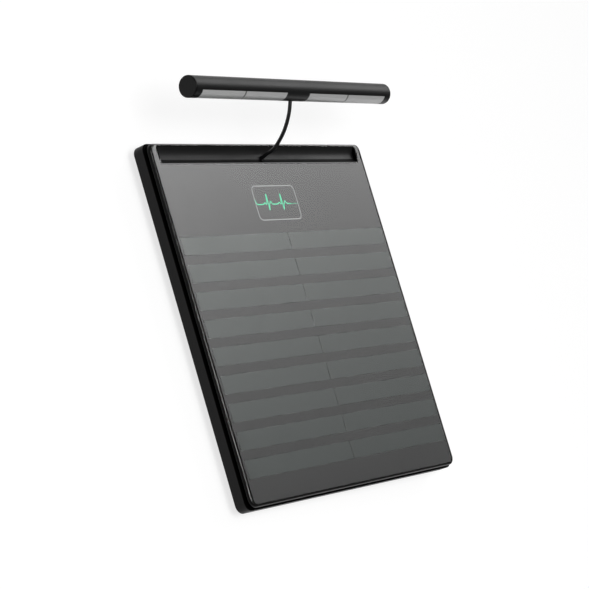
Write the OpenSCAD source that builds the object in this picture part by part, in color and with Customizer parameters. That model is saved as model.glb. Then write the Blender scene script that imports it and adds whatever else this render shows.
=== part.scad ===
// Smart bathroom scale with a glass platform, foot electrodes under a shadow gap rim,
// and a hand electrode bar on a retracting cord that docks in a trough at the back edge.
// Units are millimetres. The origin is on the floor, under the middle of the platform.
// X runs to the right, Y to the back edge where the hand bar docks, Z up.

/* [Platform] */
// Side of the square glass
plate_w = 325; // [322:1:330]
// Thickness of the glass
glass_t = 4; // [3.6:0.1:5]
// Corner radius of the glass
glass_corner_r = 8; // [5:0.5:12]
// Height of the dark gap between the glass and the tray
shadow_gap = 2.7; // [2.6:0.1:3.8]
// How far the frame in the gap stands back from the glass edge
frame_inset = 4; // [3.6:0.1:4.4]
// Width of the polished chamfer along the glass edges
glass_chamfer = 0.5; // [0.3:0.1:0.8]
// Thickness of the frame's top plate
frame_plate_t = 1.5; // [1.2:0.1:1.8]
// Thickness of the frame's rim
frame_rim_t = 1.5; // [1.2:0.1:1.7]

/* [Base tray] */
// How far the tray stands out beyond the glass on each side
tray_out = 1.7; // [1.4:0.1:2]
// Height of the tray's outer wall
tray_h = 10.9; // [10.8:0.1:12]
// Thickness of the tray's side wall
tray_wall = 2; // [1.6:0.1:2.2]
// Thickness of the tray's floor
tray_floor_t = 1.3; // [1.2:0.1:1.5]
// Corner radius of the tray, seen from above
tray_corner_r = 8; // [6:0.5:12]
// Radius along the tray's lower edge
tray_edge_r = 1.2; // [0.8:0.1:2.2]
// Thickness of the ledge on top of the tray's wall
ledge_t = 1.2; // [1:0.1:1.5]
// Height of the tray above the floor
stand_h = 8.4; // [7.5:0.1:9]

/* [Feet and load cells] */
// Distance of each foot's middle from the two nearest edges
foot_margin = 28.5; // [28:0.5:30]
// Radius of the rubber pad
pad_r = 15.5; // [13:0.5:17]
// Height of the rubber pad
pad_h = 4; // [3:0.5:5]
// Radius of the stiff carrier above the pad
carrier_r = 14; // [11:0.5:14.5]
// Side of a load cell plate
cell_w = 34; // [32:0.5:35]
// Thickness of a load cell plate
cell_t = 2; // [1.5:0.1:2.5]
// Width of the load cell's bending tongue
tongue_w = 12; // [10:0.5:14]

/* [Foot electrodes] */
// Number of coated bands in each column
band_count = 9; // [5:1:9]
// Width of one band, front to back
band_w = 16.4; // [10:0.1:20]
// Clear glass behind the bands
band_back_margin = 86.1; // [80:0.1:90]
// Clear glass in front of the bands
band_front_margin = 24; // [18:0.5:30]
// Clear strip between the two columns
column_gap = 2.4; // [1:0.1:6]
// Clear strip between a column and the glass edge
band_margin = 6; // [3:0.5:15]
// Thickness of the coating as modelled
film_t = 0.1; // [0.05:0.05:0.2]

/* [Display] */
// Width of the display module
display_w = 72; // [66:1:72]
// Depth of the display module, front to back
display_d = 50; // [44:1:52]
// Thickness of the display module
display_t = 2.6; // [2:0.1:3]
// Distance from the display's middle to the back edge
display_margin = 50.5; // [49:0.5:52]

/* [Hand bar] */
// Radius of the hand bar
bar_r = 9.8; // [9.4:0.1:9.9]
// Distance from each end of the docked hand bar to the glass edge
bar_margin = 11.1; // [11:0.1:18]
// Wall of the hand bar's tube
bar_wall = 2; // [1.6:0.1:2.4]
// Depth of the recess that an electrode lies in
electrode_recess = 0.8; // [0.6:0.1:1]
// Thickness of an electrode sheet
electrode_t = 0.7; // [0.4:0.05:0.75]
// Half of the angle that an electrode wraps
electrode_half_angle = 79; // [60:1:88]
// Start of the inner electrodes, from the middle
electrode_start = 17.5; // [12:0.5:22]
// Bare length of the bar outside the outer electrodes
electrode_end = 9.9; // [8.5:0.1:16]
// Gap between two electrodes of one side
electrode_gap = 1.8; // [0.6:0.1:2.4]
// Thickness of an end cap's disc
cap_t = 1.6; // [1.2:0.1:2]
// Depth of an end cap's plug
cap_plug = 5; // [4:0.5:6]
// Radius on the rim of an end cap
cap_edge_r = 0.8; // [0.4:0.1:1.2]

/* [Cradle] */
// Height of the docked bar's middle above the glass
dock_rise = 6.6; // [6.4:0.1:6.8]
// Distance from the docked bar's middle to the back edge
dock_margin = 10.9; // [10.8:0.1:11]
// Clearance between the docked bar and its trough
dock_clear = 0.3; // [0.3:0.05:0.45]
// How far the bar is drawn out to the back, as photographed
lift_y = 44.1; // [44:0.1:44.2]
// How far the bar is drawn up, as photographed
lift_z = 42.4; // [42.3:0.1:42.5]
// How far the bar has rolled from facing its cord eyelet
bar_roll = 65; // [60:1:65]
// Thickness under the trough
trough_floor = 1.5; // [1.2:0.1:1.6]
// Thickness of the trough's end walls
cradle_end = 1.4; // [1:0.1:2]
// Corner radius of the cradle, seen from above
cradle_corner_r = 2.4; // [1.5:0.1:2.6]

/* [Cord and reel] */
// Diameter of the cord
cord_d = 3.5; // [3.2:0.1:3.6]
// How far the cord's eyelet sits in front of the docked bar's middle
eyelet_set = 2; // [1.8:0.1:2.2]
// Gap between the reel's housing and the load cell beside it
reel_gap = 1.2; // [1:0.1:4]
// Turns of cord on the reel
reel_turns = 5.5; // [3.5:1:5.5]
// Distance from one turn to the next
turn_pitch = 3.95; // [3.95:0.05:4]
// Radius of the first turn
first_turn_r = 14; // [13.8:0.1:14]
// Radius of the reel's hub
hub_r = 12; // [11.8:0.1:12.1]
// Wall of the reel's hub
hub_wall = 1.4; // [1:0.1:2]
// Thickness of a reel flange
flange_t = 0.9; // [0.7:0.1:1]
// Room for the cord between the flanges
cord_room = 4.2; // [4:0.1:4.4]
// Radius of the reel's axle
axle_r = 2.5; // [2:0.1:2.8]
// Thickness of the reel housing's floor, wall and cover
housing_t = 1; // [0.8:0.1:1.2]
// Turns of the flat return spring
spring_turns = 6; // [4:1:8]
// Thickness of the return spring's strip
spring_t = 0.35; // [0.2:0.05:0.5]

/* [Electronics] */
// Length of the main board
board_l = 100; // [80:1:104]
// Depth of the main board
board_d = 60; // [50:1:62]
// Thickness of the circuit boards
board_t = 1.2; // [1:0.1:1.6]
// Length of the battery
battery_l = 62; // [50:1:66]
// Depth of the battery
battery_d = 38; // [30:1:42]
// Thickness of the battery
battery_t = 5.5; // [4:0.1:6]
// Distance from the charging socket to the right edge
socket_margin = 58.5; // [58:0.5:64]
// Width of the charging socket
socket_w = 8.9; // [8.6:0.1:9.2]
// Height of the charging socket
socket_h = 3.2; // [3:0.1:3.4]
// Distance from the pairing button to the charging socket
button_pitch = 24; // [20:1:28]
// Radius of the pairing button
button_r = 2.2; // [1.8:0.1:2.2]
// How far the button stands out of the tray's wall
button_proud = 0.6; // [0.3:0.1:1]
// Travel of the button
button_travel = 0.6; // [0.3:0.1:0.6]

/* [Screws] */
// Radius of a housing screw's shank
screw_r = 1.4; // [1.2:0.1:1.6]
// Radius of a housing screw's head
screw_head_r = 2.8; // [2.4:0.1:3]
// Height of a housing screw's head
screw_head_h = 1.6; // [1.2:0.1:1.8]
// Radius of a small screw's shank
small_screw_r = 1; // [0.8:0.1:1.2]
// Radius of a small screw's head
small_head_r = 1.9; // [1.6:0.1:2.1]
// Height of a small screw's head
small_head_h = 1.1; // [0.8:0.1:1.3]

/* [Hidden] */
$fn = 64;

// Small clearances, each used wherever that kind of fit occurs
fit_gap = 0.05;
seat_gap = 0.2;
run_gap = 0.3;
cut = 1;

half_w = plate_w / 2;
tray_half = half_w + tray_out;
foot_reach = half_w - foot_margin;

// Heights of the stack, from the floor up
tray_z = stand_h;
floor_z = tray_z + tray_floor_t;
tray_top_z = tray_z + tray_h;
glass_z = tray_top_z + shadow_gap;
top_z = glass_z + glass_t;
frame_z = glass_z - frame_plate_t;

// Frame under the glass
frame_w = plate_w - 2 * frame_inset;
frame_corner_r = max(glass_corner_r - frame_inset, 3);
rim_bottom_z = tray_top_z - ledge_t - 1;

// Docked place of the bar, its place in the photograph and the trough
bar_l = plate_w - 2 * bar_margin;
dock_y = half_w - dock_margin;
dock_z = top_z + dock_rise;
bar_y = dock_y + lift_y;
bar_z = dock_z + lift_z;
trough_r = bar_r + dock_clear;
trough_l = bar_l + 2 * (dock_clear + 0.1);
trough_bottom_z = dock_z - trough_r;
cradle_bottom_z = trough_bottom_z - trough_floor;
cradle_l = trough_l + 2 * cradle_end;
keel_l = cradle_l - 2;
cradle_lip = 0.8;
cradle_d = 2 * (sqrt(pow(trough_r, 2) - pow(dock_rise, 2)) + cradle_lip);
keel_front_y = dock_y - cradle_d / 2 + 2.2;
keel_back_y = half_w - frame_inset - frame_rim_t - 2 * seat_gap;
eyelet_r = 3.3;
eyelet_y = dock_y - eyelet_set;

// Reel, lying flat, so that its outer turn leaves in line with the eyelet
outer_turn_r = first_turn_r + turn_pitch * reel_turns;
reel_y = eyelet_y - outer_turn_r;
flange_r = outer_turn_r + cord_d / 2 + 0.8;
housing_r = flange_r + 0.5 + housing_t;
flange_z = floor_z + housing_t + run_gap;
cord_z = flange_z + flange_t + cord_room / 2;
top_flange_z = flange_z + flange_t + cord_room;
cover_z = top_flange_z + flange_t + run_gap;
arbor_r = axle_r + 0.7;
web_t = flange_t + 0.5;
reel_x = -foot_reach + cell_w / 2 + reel_gap + housing_r;
ear_reach = housing_r + 3;
ear_r = 3.2;
ear_angles = [150, 262, 318];
wound_sides = 6;
rings_per_turn = 24;

// Feet
foot_places = [
    [-foot_reach, -foot_reach], [foot_reach, -foot_reach],
    [-foot_reach, foot_reach], [foot_reach, foot_reach]
];
well_r = carrier_r + 1;
cell_z = floor_z + 2.3;
press_r = 4.5;
cell_screw_reach = cell_w / 2 - 3.2;
slot_w = 2;

// Fasteners of the housing and of the boards
edge_screw_margin = 12.5;
side_screw_margin = 92.5;
edge_screw = half_w - edge_screw_margin;
side_screw_y = half_w - side_screw_margin;
front_screw_x = 60;
middle_screw_x = 24;
screw_places = [
    [-edge_screw, -side_screw_y], [edge_screw, -side_screw_y],
    [-edge_screw, side_screw_y], [edge_screw, side_screw_y],
    [-front_screw_x, -edge_screw], [front_screw_x, -edge_screw],
    [-middle_screw_x, side_screw_y], [middle_screw_x, side_screw_y]
];
boss_r = 4;
boss_split_z = floor_z + 4.3;
board_x = 60;
board_back_margin = 142.5;
board_y = half_w - board_back_margin;
board_z = floor_z + 2.5;
board_screw_margin = 5;
board_screw_x = board_l / 2 - board_screw_margin;
board_screw_y = board_d / 2 - board_screw_margin;
shield_w = 24;
shield_h = 2.2;
shield_x = board_x + 22;
shield_y = board_y + 8;
battery_side_margin = 87.5;
battery_back_margin = 56.5;
battery_x = half_w - battery_side_margin;
battery_y = half_w - battery_back_margin;
fence_t = 1.2;
fence_h = 3;

// Charging board behind the back wall
wall_in_y = tray_half - tray_wall;
socket_x = half_w - socket_margin;
button_x = socket_x - button_pitch;
charge_board_z = floor_z + 0.5;
charge_board_x = (socket_x + button_x) / 2;
charge_board_end = 11;
charge_board_l = button_pitch + 2 * charge_board_end;
charge_board_d = 17;
charge_board_back_y = wall_in_y - 3.5;
socket_z = charge_board_z + board_t;
socket_d = 7.3;
port_z = socket_z + socket_h / 2;
button_z = port_z;
flange_y = wall_in_y - run_gap;
button_flange_t = 0.9;
button_flange_r = button_r + 0.6;
button_stem_r = 1.1;
switch_face_y = charge_board_back_y - 1.2;

// Hand bar inside
bar_bore_r = bar_r - bar_wall;
electrode_l = (bar_l / 2 - electrode_start - electrode_end - electrode_gap) / 2;
board_drop = 1.6;
bar_board_w = 2 * sqrt(pow(bar_bore_r, 2) - pow(board_drop + board_t, 2)) - 0.3;
bar_board_l = bar_l - 2 * (cap_t + cap_plug) - 4;
gland_r = 3.4;
gland_face = bar_r - 0.3;
gland_inner = board_drop + board_t + 0.3;
electrode_places = [
    -electrode_start - electrode_l * 1.5 - electrode_gap,
    -electrode_start - electrode_l * 0.5,
    electrode_start + electrode_l * 0.5,
    electrode_start + electrode_l * 1.5 + electrode_gap
];
pin_r = 1;
pin_reach = electrode_l / 2 - 8;

// Middle of the display and the bands of the foot electrodes
display_y = half_w - display_margin;
band_back_y = half_w - band_back_margin;
band_pitch = (plate_w - band_back_margin - band_front_margin - band_w) / (band_count - 1);

// Ribs on the tray's floor and under the frame
rib_t = 1.2;
tray_rib_h = 2;
tray_rib_front = 38;
tray_rib_back_y = -20;
frame_rib_h = 1.8;
frame_rib_xs = [-100, -50, 50, 100];
frame_rib_start = 25;
frame_rib_pitch = 40;
frame_rib_ys = [for (i = [0 : 4]) side_screw_y - frame_rib_start - frame_rib_pitch * i];
tray_rib_margins = [67.5, 117.5];
tray_rib_end = 20;

// Route of the cord from the reel's outer turn to the eyelet and up into the open
bend_r = 7;
lead_start_x = reel_x + 0.3;
lead_runs = 9;
lean_z = trough_bottom_z + 0.8;
lead_route = concat(
    [for (i = [0 : lead_runs]) [lead_start_x - (lead_start_x + bend_r) * i / lead_runs, eyelet_y, cord_z]],
    [for (a = [15 : 15 : 90]) [bend_r * (sin(a) - 1), eyelet_y, cord_z + bend_r * (1 - cos(a))]],
    [for (k = [0 : 3]) [0, eyelet_y + eyelet_set * k / 3, lean_z + (dock_z - lean_z) * k / 3]]
);
// Route of the free cord, from over the trough to the bar as it was photographed,
// as steps to the back and up from the docked bar's middle
free_steps = [
    [0, 0.1], [0, 1.5], [0.7, 4.9], [2.1, 8.4], [4.1, 11.9], [6.4, 15.3], [9, 18.8],
    [12.2, 22.5], [15.8, 26], [19.6, 29.2], [23.5, 32.1], [27.5, 34.6], [31.6, 36.7], [35.4, 38.4]
];
free_route = [for (step = free_steps) [0, dock_y + step[0], dock_z + step[1]]];

// Flat spiral of the wound cord, from the hub out to the tangent point
function wound_point(turn) =
    let (
        r = first_turn_r + turn_pitch * turn,
        angle = 90 + 360 * (reel_turns - turn)
    )
    [reel_x + r * cos(angle), reel_y + r * sin(angle), cord_z];
wound_steps = reel_turns * rings_per_turn;
wound_route = [for (i = [0 : wound_steps]) wound_point(i / rings_per_turn)];

function route_length(p) = len(p) < 2 ? 0 : sum_of([for (i = [1 : len(p) - 1]) norm(p[i] - p[i - 1])]);
function reversed(v) = [for (i = [len(v) - 1 : -1 : 0]) v[i]];
function sum_of(v, i = 0) = i == len(v) ? 0 : v[i] + sum_of(v, i + 1);
function turn_gap(p) = min([for (i = [0 : len(p) - 1 - rings_per_turn])
    min([for (j = [i + rings_per_turn / 2 : len(p) - 1]) norm(p[j] - p[i])])]) - cord_d;

echo(free_cord = route_length(free_route), lead = route_length(lead_route));
echo(wound_cord = route_length(wound_route), least_gap = turn_gap(wound_route));

// Direction of a route at one of its points
function heading(p, i) =
    let (d = p[min(i + 1, len(p) - 1)] - p[max(i - 1, 0)])
    d / norm(d);

// A round tube along a route that lies in or near one plane, whose normal is flat_way
module cord_tube(route, d, sides, flat_way) {
    rings = len(route);
    points = [for (i = [0 : rings - 1]) for (s = [0 : sides - 1])
        let (
            angle = 360 * (s + 0.5) / sides,
            across = cross(heading(route, i), flat_way)
        )
        route[i] + d / 2 * (cos(angle) * flat_way + sin(angle) * across)];
    walls = [for (i = [0 : rings - 2]) for (s = [0 : sides - 1])
        let (
            a = i * sides + s,
            b = i * sides + (s + 1) % sides
        )
        each [[a, a + sides, b + sides], [a, b + sides, b]]];
    start = [for (s = [1 : sides - 2]) [0, s, s + 1]];
    last = (rings - 1) * sides;
    end = [for (s = [1 : sides - 2]) [last, last + s + 1, last + s]];
    polyhedron(points, concat(walls, start, end));
}

// Square with round corners, drawn from true arcs
module round_square(w, r, d = 0) {
    depth = d == 0 ? w : d;
    square([w - 2 * r, depth], center = true);
    square([w, depth - 2 * r], center = true);
    for (sx = [-1, 1]) for (sy = [-1, 1])
        translate([sx * (w / 2 - r), sy * (depth / 2 - r)])
            circle(r);
}

// Half section of a pan with a rounded lower edge
module pan_section(half, h, edge) {
    square([half - edge, h]);
    translate([0, edge])
        square([half, h - edge]);
    translate([half - edge, edge])
        circle(edge, $fn = 32);
}

// Half section of a slab whose edges are chamfered
module slab_section(half, h, chamfer) {
    polygon([
        [0, 0], [half - chamfer, 0], [half, chamfer],
        [half, h - chamfer], [half - chamfer, h], [0, h]
    ]);
}

// Square block with round corners, from its half section at a corner and along a side
module square_block(w, r) {
    for (sx = [-1, 1]) for (sy = [-1, 1])
        translate([sx * (w / 2 - r), sy * (w / 2 - r), 0])
            rotate_extrude()
                children(0);
    for (turn = [0, 90]) rotate([90, 0, turn])
        linear_extrude(w - 2 * r, center = true) {
            children(1);
            mirror([1, 0])
                children(1);
        }
}

module at_places(places, z = 0) {
    for (p = places)
        translate([p[0], p[1], z])
            children();
}

// Three ears that hold the reel's housing and cover
module at_ears(z = 0) {
    for (a = ear_angles)
        translate([reel_x + ear_reach * cos(a), reel_y + ear_reach * sin(a), z])
            children();
}

module at_cell_screws(z = 0) {
    for (p = foot_places) for (s = [-1, 1])
        translate([p[0] + s * cell_screw_reach, p[1] + s * cell_screw_reach, z])
            children();
}

module at_board_screws(z = 0) {
    for (sx = [-1, 1]) for (sy = [-1, 1])
        translate([board_x + sx * board_screw_x, board_y + sy * board_screw_y, z])
            children();
}

// Stadium shape lying in the back wall, for the charging port
module port_shape(grow = 0) {
    r = socket_h / 2 + grow;
    for (s = [-1, 1])
        translate([s * (socket_w - socket_h) / 2, 0])
            circle(r);
    square([socket_w - socket_h, 2 * r], center = true);
}

// Tray

module tray_shell() {
    inner_w = 2 * (tray_half - tray_wall);
    opening_w = frame_w + 2 * seat_gap;
    difference() {
        translate([0, 0, tray_z])
            square_block(2 * tray_half, tray_corner_r) {
                pan_section(tray_corner_r, tray_h, tray_edge_r);
                pan_section(tray_half, tray_h, tray_edge_r);
            }
        translate([0, 0, floor_z])
            linear_extrude(tray_h - tray_floor_t - ledge_t)
                round_square(inner_w, tray_corner_r - tray_wall);
        translate([0, 0, floor_z])
            linear_extrude(tray_h)
                round_square(opening_w, frame_corner_r + seat_gap);
    }
}

module tray_ribs() {
    rib_l = half_w - tray_rib_front + tray_rib_back_y;
    for (m = tray_rib_margins) translate([0, m - half_w, floor_z + tray_rib_h / 2])
        cube([plate_w - 2 * (tray_wall + tray_rib_end), rib_t, tray_rib_h], center = true);
    for (x = concat(frame_rib_xs, 0)) translate([x, tray_rib_back_y - rib_l / 2, floor_z + tray_rib_h / 2])
        cube([rib_t, rib_l, tray_rib_h], center = true);
}

module battery_fence() {
    l = battery_l + 2 * (seat_gap + fence_t);
    d = battery_d + 2 * (seat_gap + fence_t);
    translate([battery_x, battery_y, floor_z + fence_h / 2])
        difference() {
            cube([l, d, fence_h], center = true);
            cube([l - 2 * fence_t, d - 2 * fence_t, fence_h + cut], center = true);
            cube([l / 2, d + cut, fence_h + cut], center = true);
        }
}

module base_tray() color("#262627") difference() {
    union() {
        tray_shell();
        tray_ribs();
        battery_fence();
        at_places(screw_places, floor_z)
            cylinder(h = boss_split_z - floor_z, r = boss_r);
        at_places(foot_places, floor_z)
            cylinder(h = cell_z - floor_z, r = well_r + 2.2);
        at_cell_screws(floor_z)
            cylinder(h = cell_z - floor_z, r = 2.6);
        at_board_screws(floor_z)
            cylinder(h = board_z - floor_z, r = 2.8);
        for (sx = [-1, 1]) translate([charge_board_x + sx * (charge_board_l / 2 - 3),
            charge_board_back_y - charge_board_d / 2, floor_z])
            cylinder(h = charge_board_z - floor_z, r = 2.4);
    }
    at_places(screw_places, tray_z - cut)
        cylinder(h = boss_split_z - tray_z + 2 * cut, r = screw_r + fit_gap);
    at_places(screw_places, tray_z - cut)
        cylinder(h = screw_head_h + 0.6 + cut, r = screw_head_r + seat_gap);
    at_places(foot_places, tray_z - cut)
        cylinder(h = cell_z - tray_z + 2 * cut, r = well_r);
    at_cell_screws(floor_z + 0.3)
        cylinder(h = cell_z, r = small_screw_r + fit_gap);
    at_board_screws(floor_z + 0.3)
        cylinder(h = board_z, r = small_screw_r + fit_gap);
    translate([socket_x, tray_half + cut, port_z])
        rotate([90, 0, 0])
            linear_extrude(tray_wall + 2 * cut)
                port_shape(0.25);
    translate([button_x, tray_half + cut, button_z])
        rotate([90, 0, 0])
            cylinder(h = tray_wall + 2 * cut, r = button_r + 0.1);
}

// Frame in the shadow gap, which carries the glass

module display_window(grow) {
    translate([0, display_y])
        round_square(display_w + 2 * grow, 2, display_d + 2 * grow);
}

module upper_frame() color("#101011") difference() {
    union() {
        translate([0, 0, frame_z])
            linear_extrude(frame_plate_t)
                round_square(frame_w, frame_corner_r);
        translate([0, 0, rim_bottom_z])
            linear_extrude(frame_z - rim_bottom_z)
                difference() {
                    round_square(frame_w, frame_corner_r);
                    round_square(frame_w - 2 * frame_rim_t, frame_corner_r - frame_rim_t);
                }
        at_places(screw_places, boss_split_z + 0.1)
            cylinder(h = frame_z - boss_split_z, r = boss_r);
        for (y = frame_rib_ys) translate([0, y, frame_z + 0.1 - frame_rib_h / 2])
            cube([frame_w - frame_rim_t, rib_t, frame_rib_h], center = true);
        for (x = frame_rib_xs)
            translate([x - rib_t / 2, -frame_w / 2 + frame_rim_t / 2, frame_z + 0.1 - frame_rib_h])
                cube([rib_t, frame_w / 2 + display_y - display_d / 2 - 3, frame_rib_h]);
    }
    at_places(screw_places, boss_split_z)
        cylinder(h = frame_z - boss_split_z, r = screw_r + fit_gap);
    translate([0, 0, frame_z - cut])
        linear_extrude(frame_plate_t + 2 * cut) {
            display_window(0.6);
            translate([-keel_l / 2 - seat_gap, keel_front_y - seat_gap])
                square([keel_l + 2 * seat_gap, keel_back_y - keel_front_y + 2 * seat_gap]);
        }
}

// Outline of the cradle's upper part, which fills the opening in the glass
module cradle_shape(grow) {
    translate([0, dock_y])
        round_square(cradle_l + 2 * grow, cradle_corner_r + grow, cradle_d + 2 * grow);
}

// Glass with an opening near the back edge for the cradle
module glass_platform() color("#6c6e6e") difference() {
    translate([0, 0, glass_z])
        square_block(plate_w, glass_corner_r) {
            slab_section(glass_corner_r, glass_t, glass_chamfer);
            slab_section(half_w, glass_t, glass_chamfer);
        }
    translate([0, 0, glass_z - cut])
        linear_extrude(glass_t + 2 * cut)
            cradle_shape(seat_gap);
}

// One column of coated bands; side is -1 for left and 1 for right
module electrode_bands(side) color("#7b8280") {
    column_w = half_w - band_margin - column_gap / 2;
    for (i = [0 : band_count - 1])
        translate([side * (column_gap / 2 + column_w / 2),
            band_back_y - band_w / 2 - i * band_pitch, top_z + film_t / 2])
            cube([column_w, band_w, film_t], center = true);
}

module electrode_film_left() electrode_bands(-1);
module electrode_film_right() electrode_bands(1);

module display_panel() color("#1a2a26") translate([0, 0, glass_z - display_t])
    linear_extrude(display_t)
        display_window(0);

// Cradle

module handle_cradle() color("#1c1c1e") difference() {
    union() {
        translate([0, 0, glass_z])
            linear_extrude(glass_t)
                cradle_shape(0);
        translate([-keel_l / 2, keel_front_y, cradle_bottom_z])
            cube([keel_l, keel_back_y - keel_front_y, glass_z - cradle_bottom_z + 0.5]);
    }
    translate([0, dock_y, dock_z])
        rotate([0, 90, 0])
            cylinder(h = trough_l, r = trough_r, center = true, $fn = 128);
    translate([0, eyelet_y, cradle_bottom_z - cut])
        cylinder(h = 2 * glass_t, r = eyelet_r + fit_gap);
}

// Bush in the trough's floor, with a rounded mouth for the cord
module cradle_eyelet() color("#2a2a2c") translate([0, eyelet_y, cradle_bottom_z])
    rotate_extrude() {
        h = trough_floor - 0.1;
        bore_r = cord_d / 2 + 0.25;
        difference() {
            translate([bore_r, 0])
                square([eyelet_r - bore_r, h]);
            translate([bore_r - 0.1, h - 0.6])
                square([0.7, 0.7]);
        }
        translate([bore_r + 0.6, h - 0.6])
            circle(0.6, $fn = 24);
    }

// Elbow that turns the cord from the reel up to the eyelet
module cord_guide() color("#d8d5cc") {
    channel_r = cord_d / 2 + 0.35;
    block_top_z = cradle_bottom_z - run_gap;
    block_w = 7.4;
    block_lead = 6;
    block_end = 4.2;
    difference() {
        translate([-bend_r - block_lead, eyelet_y - block_w / 2, floor_z])
            cube([bend_r + block_lead + block_end, block_w, block_top_z - floor_z]);
        translate([-bend_r, eyelet_y, cord_z])
            rotate([0, -90, 0])
                cylinder(h = 10, r = channel_r);
        translate([-bend_r, eyelet_y, cord_z + bend_r])
            rotate([90, 0, 0])
                rotate_extrude(angle = -90)
                    translate([bend_r, 0])
                        circle(channel_r, $fn = 32);
        translate([0, eyelet_y, cord_z + bend_r])
            cylinder(h = 10, r = channel_r);
    }
}

// Reel

module reel_housing() color("#3a3a3d") difference() {
    union() {
        translate([reel_x, reel_y, floor_z])
            cylinder(h = cover_z - floor_z, r = housing_r);
        at_ears(floor_z)
            cylinder(h = cover_z - floor_z, r = ear_r);
    }
    translate([reel_x, reel_y, floor_z + housing_t])
        cylinder(h = cover_z, r = housing_r - housing_t);
    translate([reel_x, reel_y, floor_z - cut])
        cylinder(h = housing_t + 2 * cut, r = axle_r + fit_gap);
    translate([reel_x, eyelet_y - cord_d / 2 - 0.5, flange_z + flange_t])
        cube([housing_r, cord_d + 1, cord_room]);
    at_ears(floor_z + housing_t)
        cylinder(h = cover_z, r = small_screw_r + fit_gap);
}

module reel_cover() color("#3a3a3d") difference() {
    union() {
        translate([reel_x, reel_y, cover_z])
            cylinder(h = housing_t, r = housing_r);
        at_ears(cover_z)
            cylinder(h = housing_t, r = ear_r);
    }
    translate([reel_x, reel_y, cover_z - cut])
        cylinder(h = housing_t + 2 * cut, r = axle_r + fit_gap);
    at_ears(cover_z - cut)
        cylinder(h = housing_t + 2 * cut, r = small_screw_r + fit_gap);
}

module reel_axle() color("#b9bcc0") translate([reel_x, reel_y, 0]) {
    arbor_z = flange_z + web_t + run_gap;
    translate([0, 0, floor_z])
        cylinder(h = cover_z + housing_t - floor_z, r = axle_r);
    translate([0, 0, arbor_z])
        cylinder(h = cover_z - 0.1 - arbor_z, r = arbor_r);
}

// Points along one side of a flat spiral strip, 24 to a turn
function spiral_edge(inner, outer, turns, shift) = [for (i = [0 : turns * 24])
    let (r = inner + (outer - inner) * i / (turns * 24) + shift)
    [r * cos(15 * i), r * sin(15 * i)]];

// Flat spiral return spring, between the fixed arbor and the hub's inner wall
module reel_spring() color("#8f969c") {
    spring_z = flange_z + web_t + run_gap;
    inner = arbor_r + spring_t / 2 + fit_gap;
    outer = hub_r - hub_wall - spring_t / 2 - run_gap;
    translate([reel_x, reel_y, spring_z])
        linear_extrude(cover_z - run_gap - spring_z)
            polygon(concat(
                spiral_edge(inner, outer, spring_turns, spring_t / 2),
                reversed(spiral_edge(inner, outer, spring_turns, -spring_t / 2))
            ));
}

module reel_drum() color("#55565a") translate([reel_x, reel_y, 0]) {
    lug_w = 3;
    difference() {
        union() {
            translate([0, 0, flange_z])
                cylinder(h = flange_t, r = flange_r);
            translate([0, 0, flange_z])
                cylinder(h = top_flange_z + flange_t - flange_z, r = hub_r);
            translate([0, 0, top_flange_z])
                cylinder(h = flange_t, r = flange_r);
            // Stop that the cord's inner end butts against
            translate([0, -first_turn_r - cord_d / 2, flange_z])
                cube([lug_w, cord_d + 1, top_flange_z + flange_t - flange_z]);
        }
        translate([0, 0, flange_z + web_t])
            cylinder(h = 20, r = hub_r - hub_wall);
        translate([0, 0, flange_z - cut])
            cylinder(h = 20, r = axle_r + fit_gap);
    }
}

module wound_cord() color("#161617")
    cord_tube(wound_route, cord_d, wound_sides, [0, 0, 1]);

module cord_lead() color("#161617")
    cord_tube(lead_route, cord_d, 8, [0, 1, 0]);

module handle_cord() color("#161617")
    cord_tube(free_route, cord_d, 8, [1, 0, 0]);

// Electronics

module main_board() color("#1f5a3c") difference() {
    translate([board_x, board_y, board_z])
        linear_extrude(board_t)
            round_square(board_l, 2, board_d);
    at_board_screws(board_z - cut)
        cylinder(h = board_t + 2 * cut, r = small_screw_r + 0.2);
}

module radio_shield() color("#c4c8cc") translate([shield_x, shield_y, board_z + board_t])
    linear_extrude(shield_h)
        round_square(shield_w, 1);

module battery_pack() color("#9aa0a6") translate([battery_x, battery_y, floor_z])
    linear_extrude(battery_t)
        round_square(battery_l, 1.5, battery_d);

module charge_board() color("#1f5a3c")
    translate([charge_board_x - charge_board_l / 2, charge_board_back_y - charge_board_d, charge_board_z])
        cube([charge_board_l, charge_board_d, board_t]);

// Socket shell with a tongue inside, its mouth just inside the tray's wall
module charge_socket() color("#c4c8cc") translate([socket_x, wall_in_y - 0.2, port_z])
    rotate([90, 0, 0]) {
        shell = 0.3;
        linear_extrude(socket_d)
            difference() {
                port_shape();
                port_shape(-shell);
            }
        translate([0, 0, socket_d - 1])
            linear_extrude(1)
                port_shape(-shell / 2);
        translate([0, 0, 0.8])
            linear_extrude(socket_d - 1)
                square([socket_w - 2.4, 0.7], center = true);
    }

module button_switch() color("#30343a") {
    switch_w = 6;
    switch_d = 3.6;
    translate([button_x - switch_w / 2, switch_face_y - switch_d, socket_z])
        cube([switch_w, switch_d, 3.4]);
    translate([button_x, switch_face_y - 0.1, button_z])
        rotate([-90, 0, 0])
            cylinder(h = 0.5, r = 1, $fn = 24);
}

// Round button with a collar behind the wall and a stem that reaches the switch
module pairing_button() color("#2c2c2e") translate([button_x, 0, button_z]) {
    stem_end_y = switch_face_y + 0.4 + button_travel + 0.1;
    translate([0, tray_half + button_proud, 0])
        rotate([90, 0, 0])
            cylinder(h = tray_half + button_proud - flange_y + 0.2, r = button_r);
    translate([0, flange_y, 0])
        rotate([90, 0, 0])
            cylinder(h = button_flange_t, r = button_flange_r);
    translate([0, flange_y, 0])
        rotate([90, 0, 0])
            cylinder(h = flange_y - stem_end_y, r = button_stem_r);
}

// Feet

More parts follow.
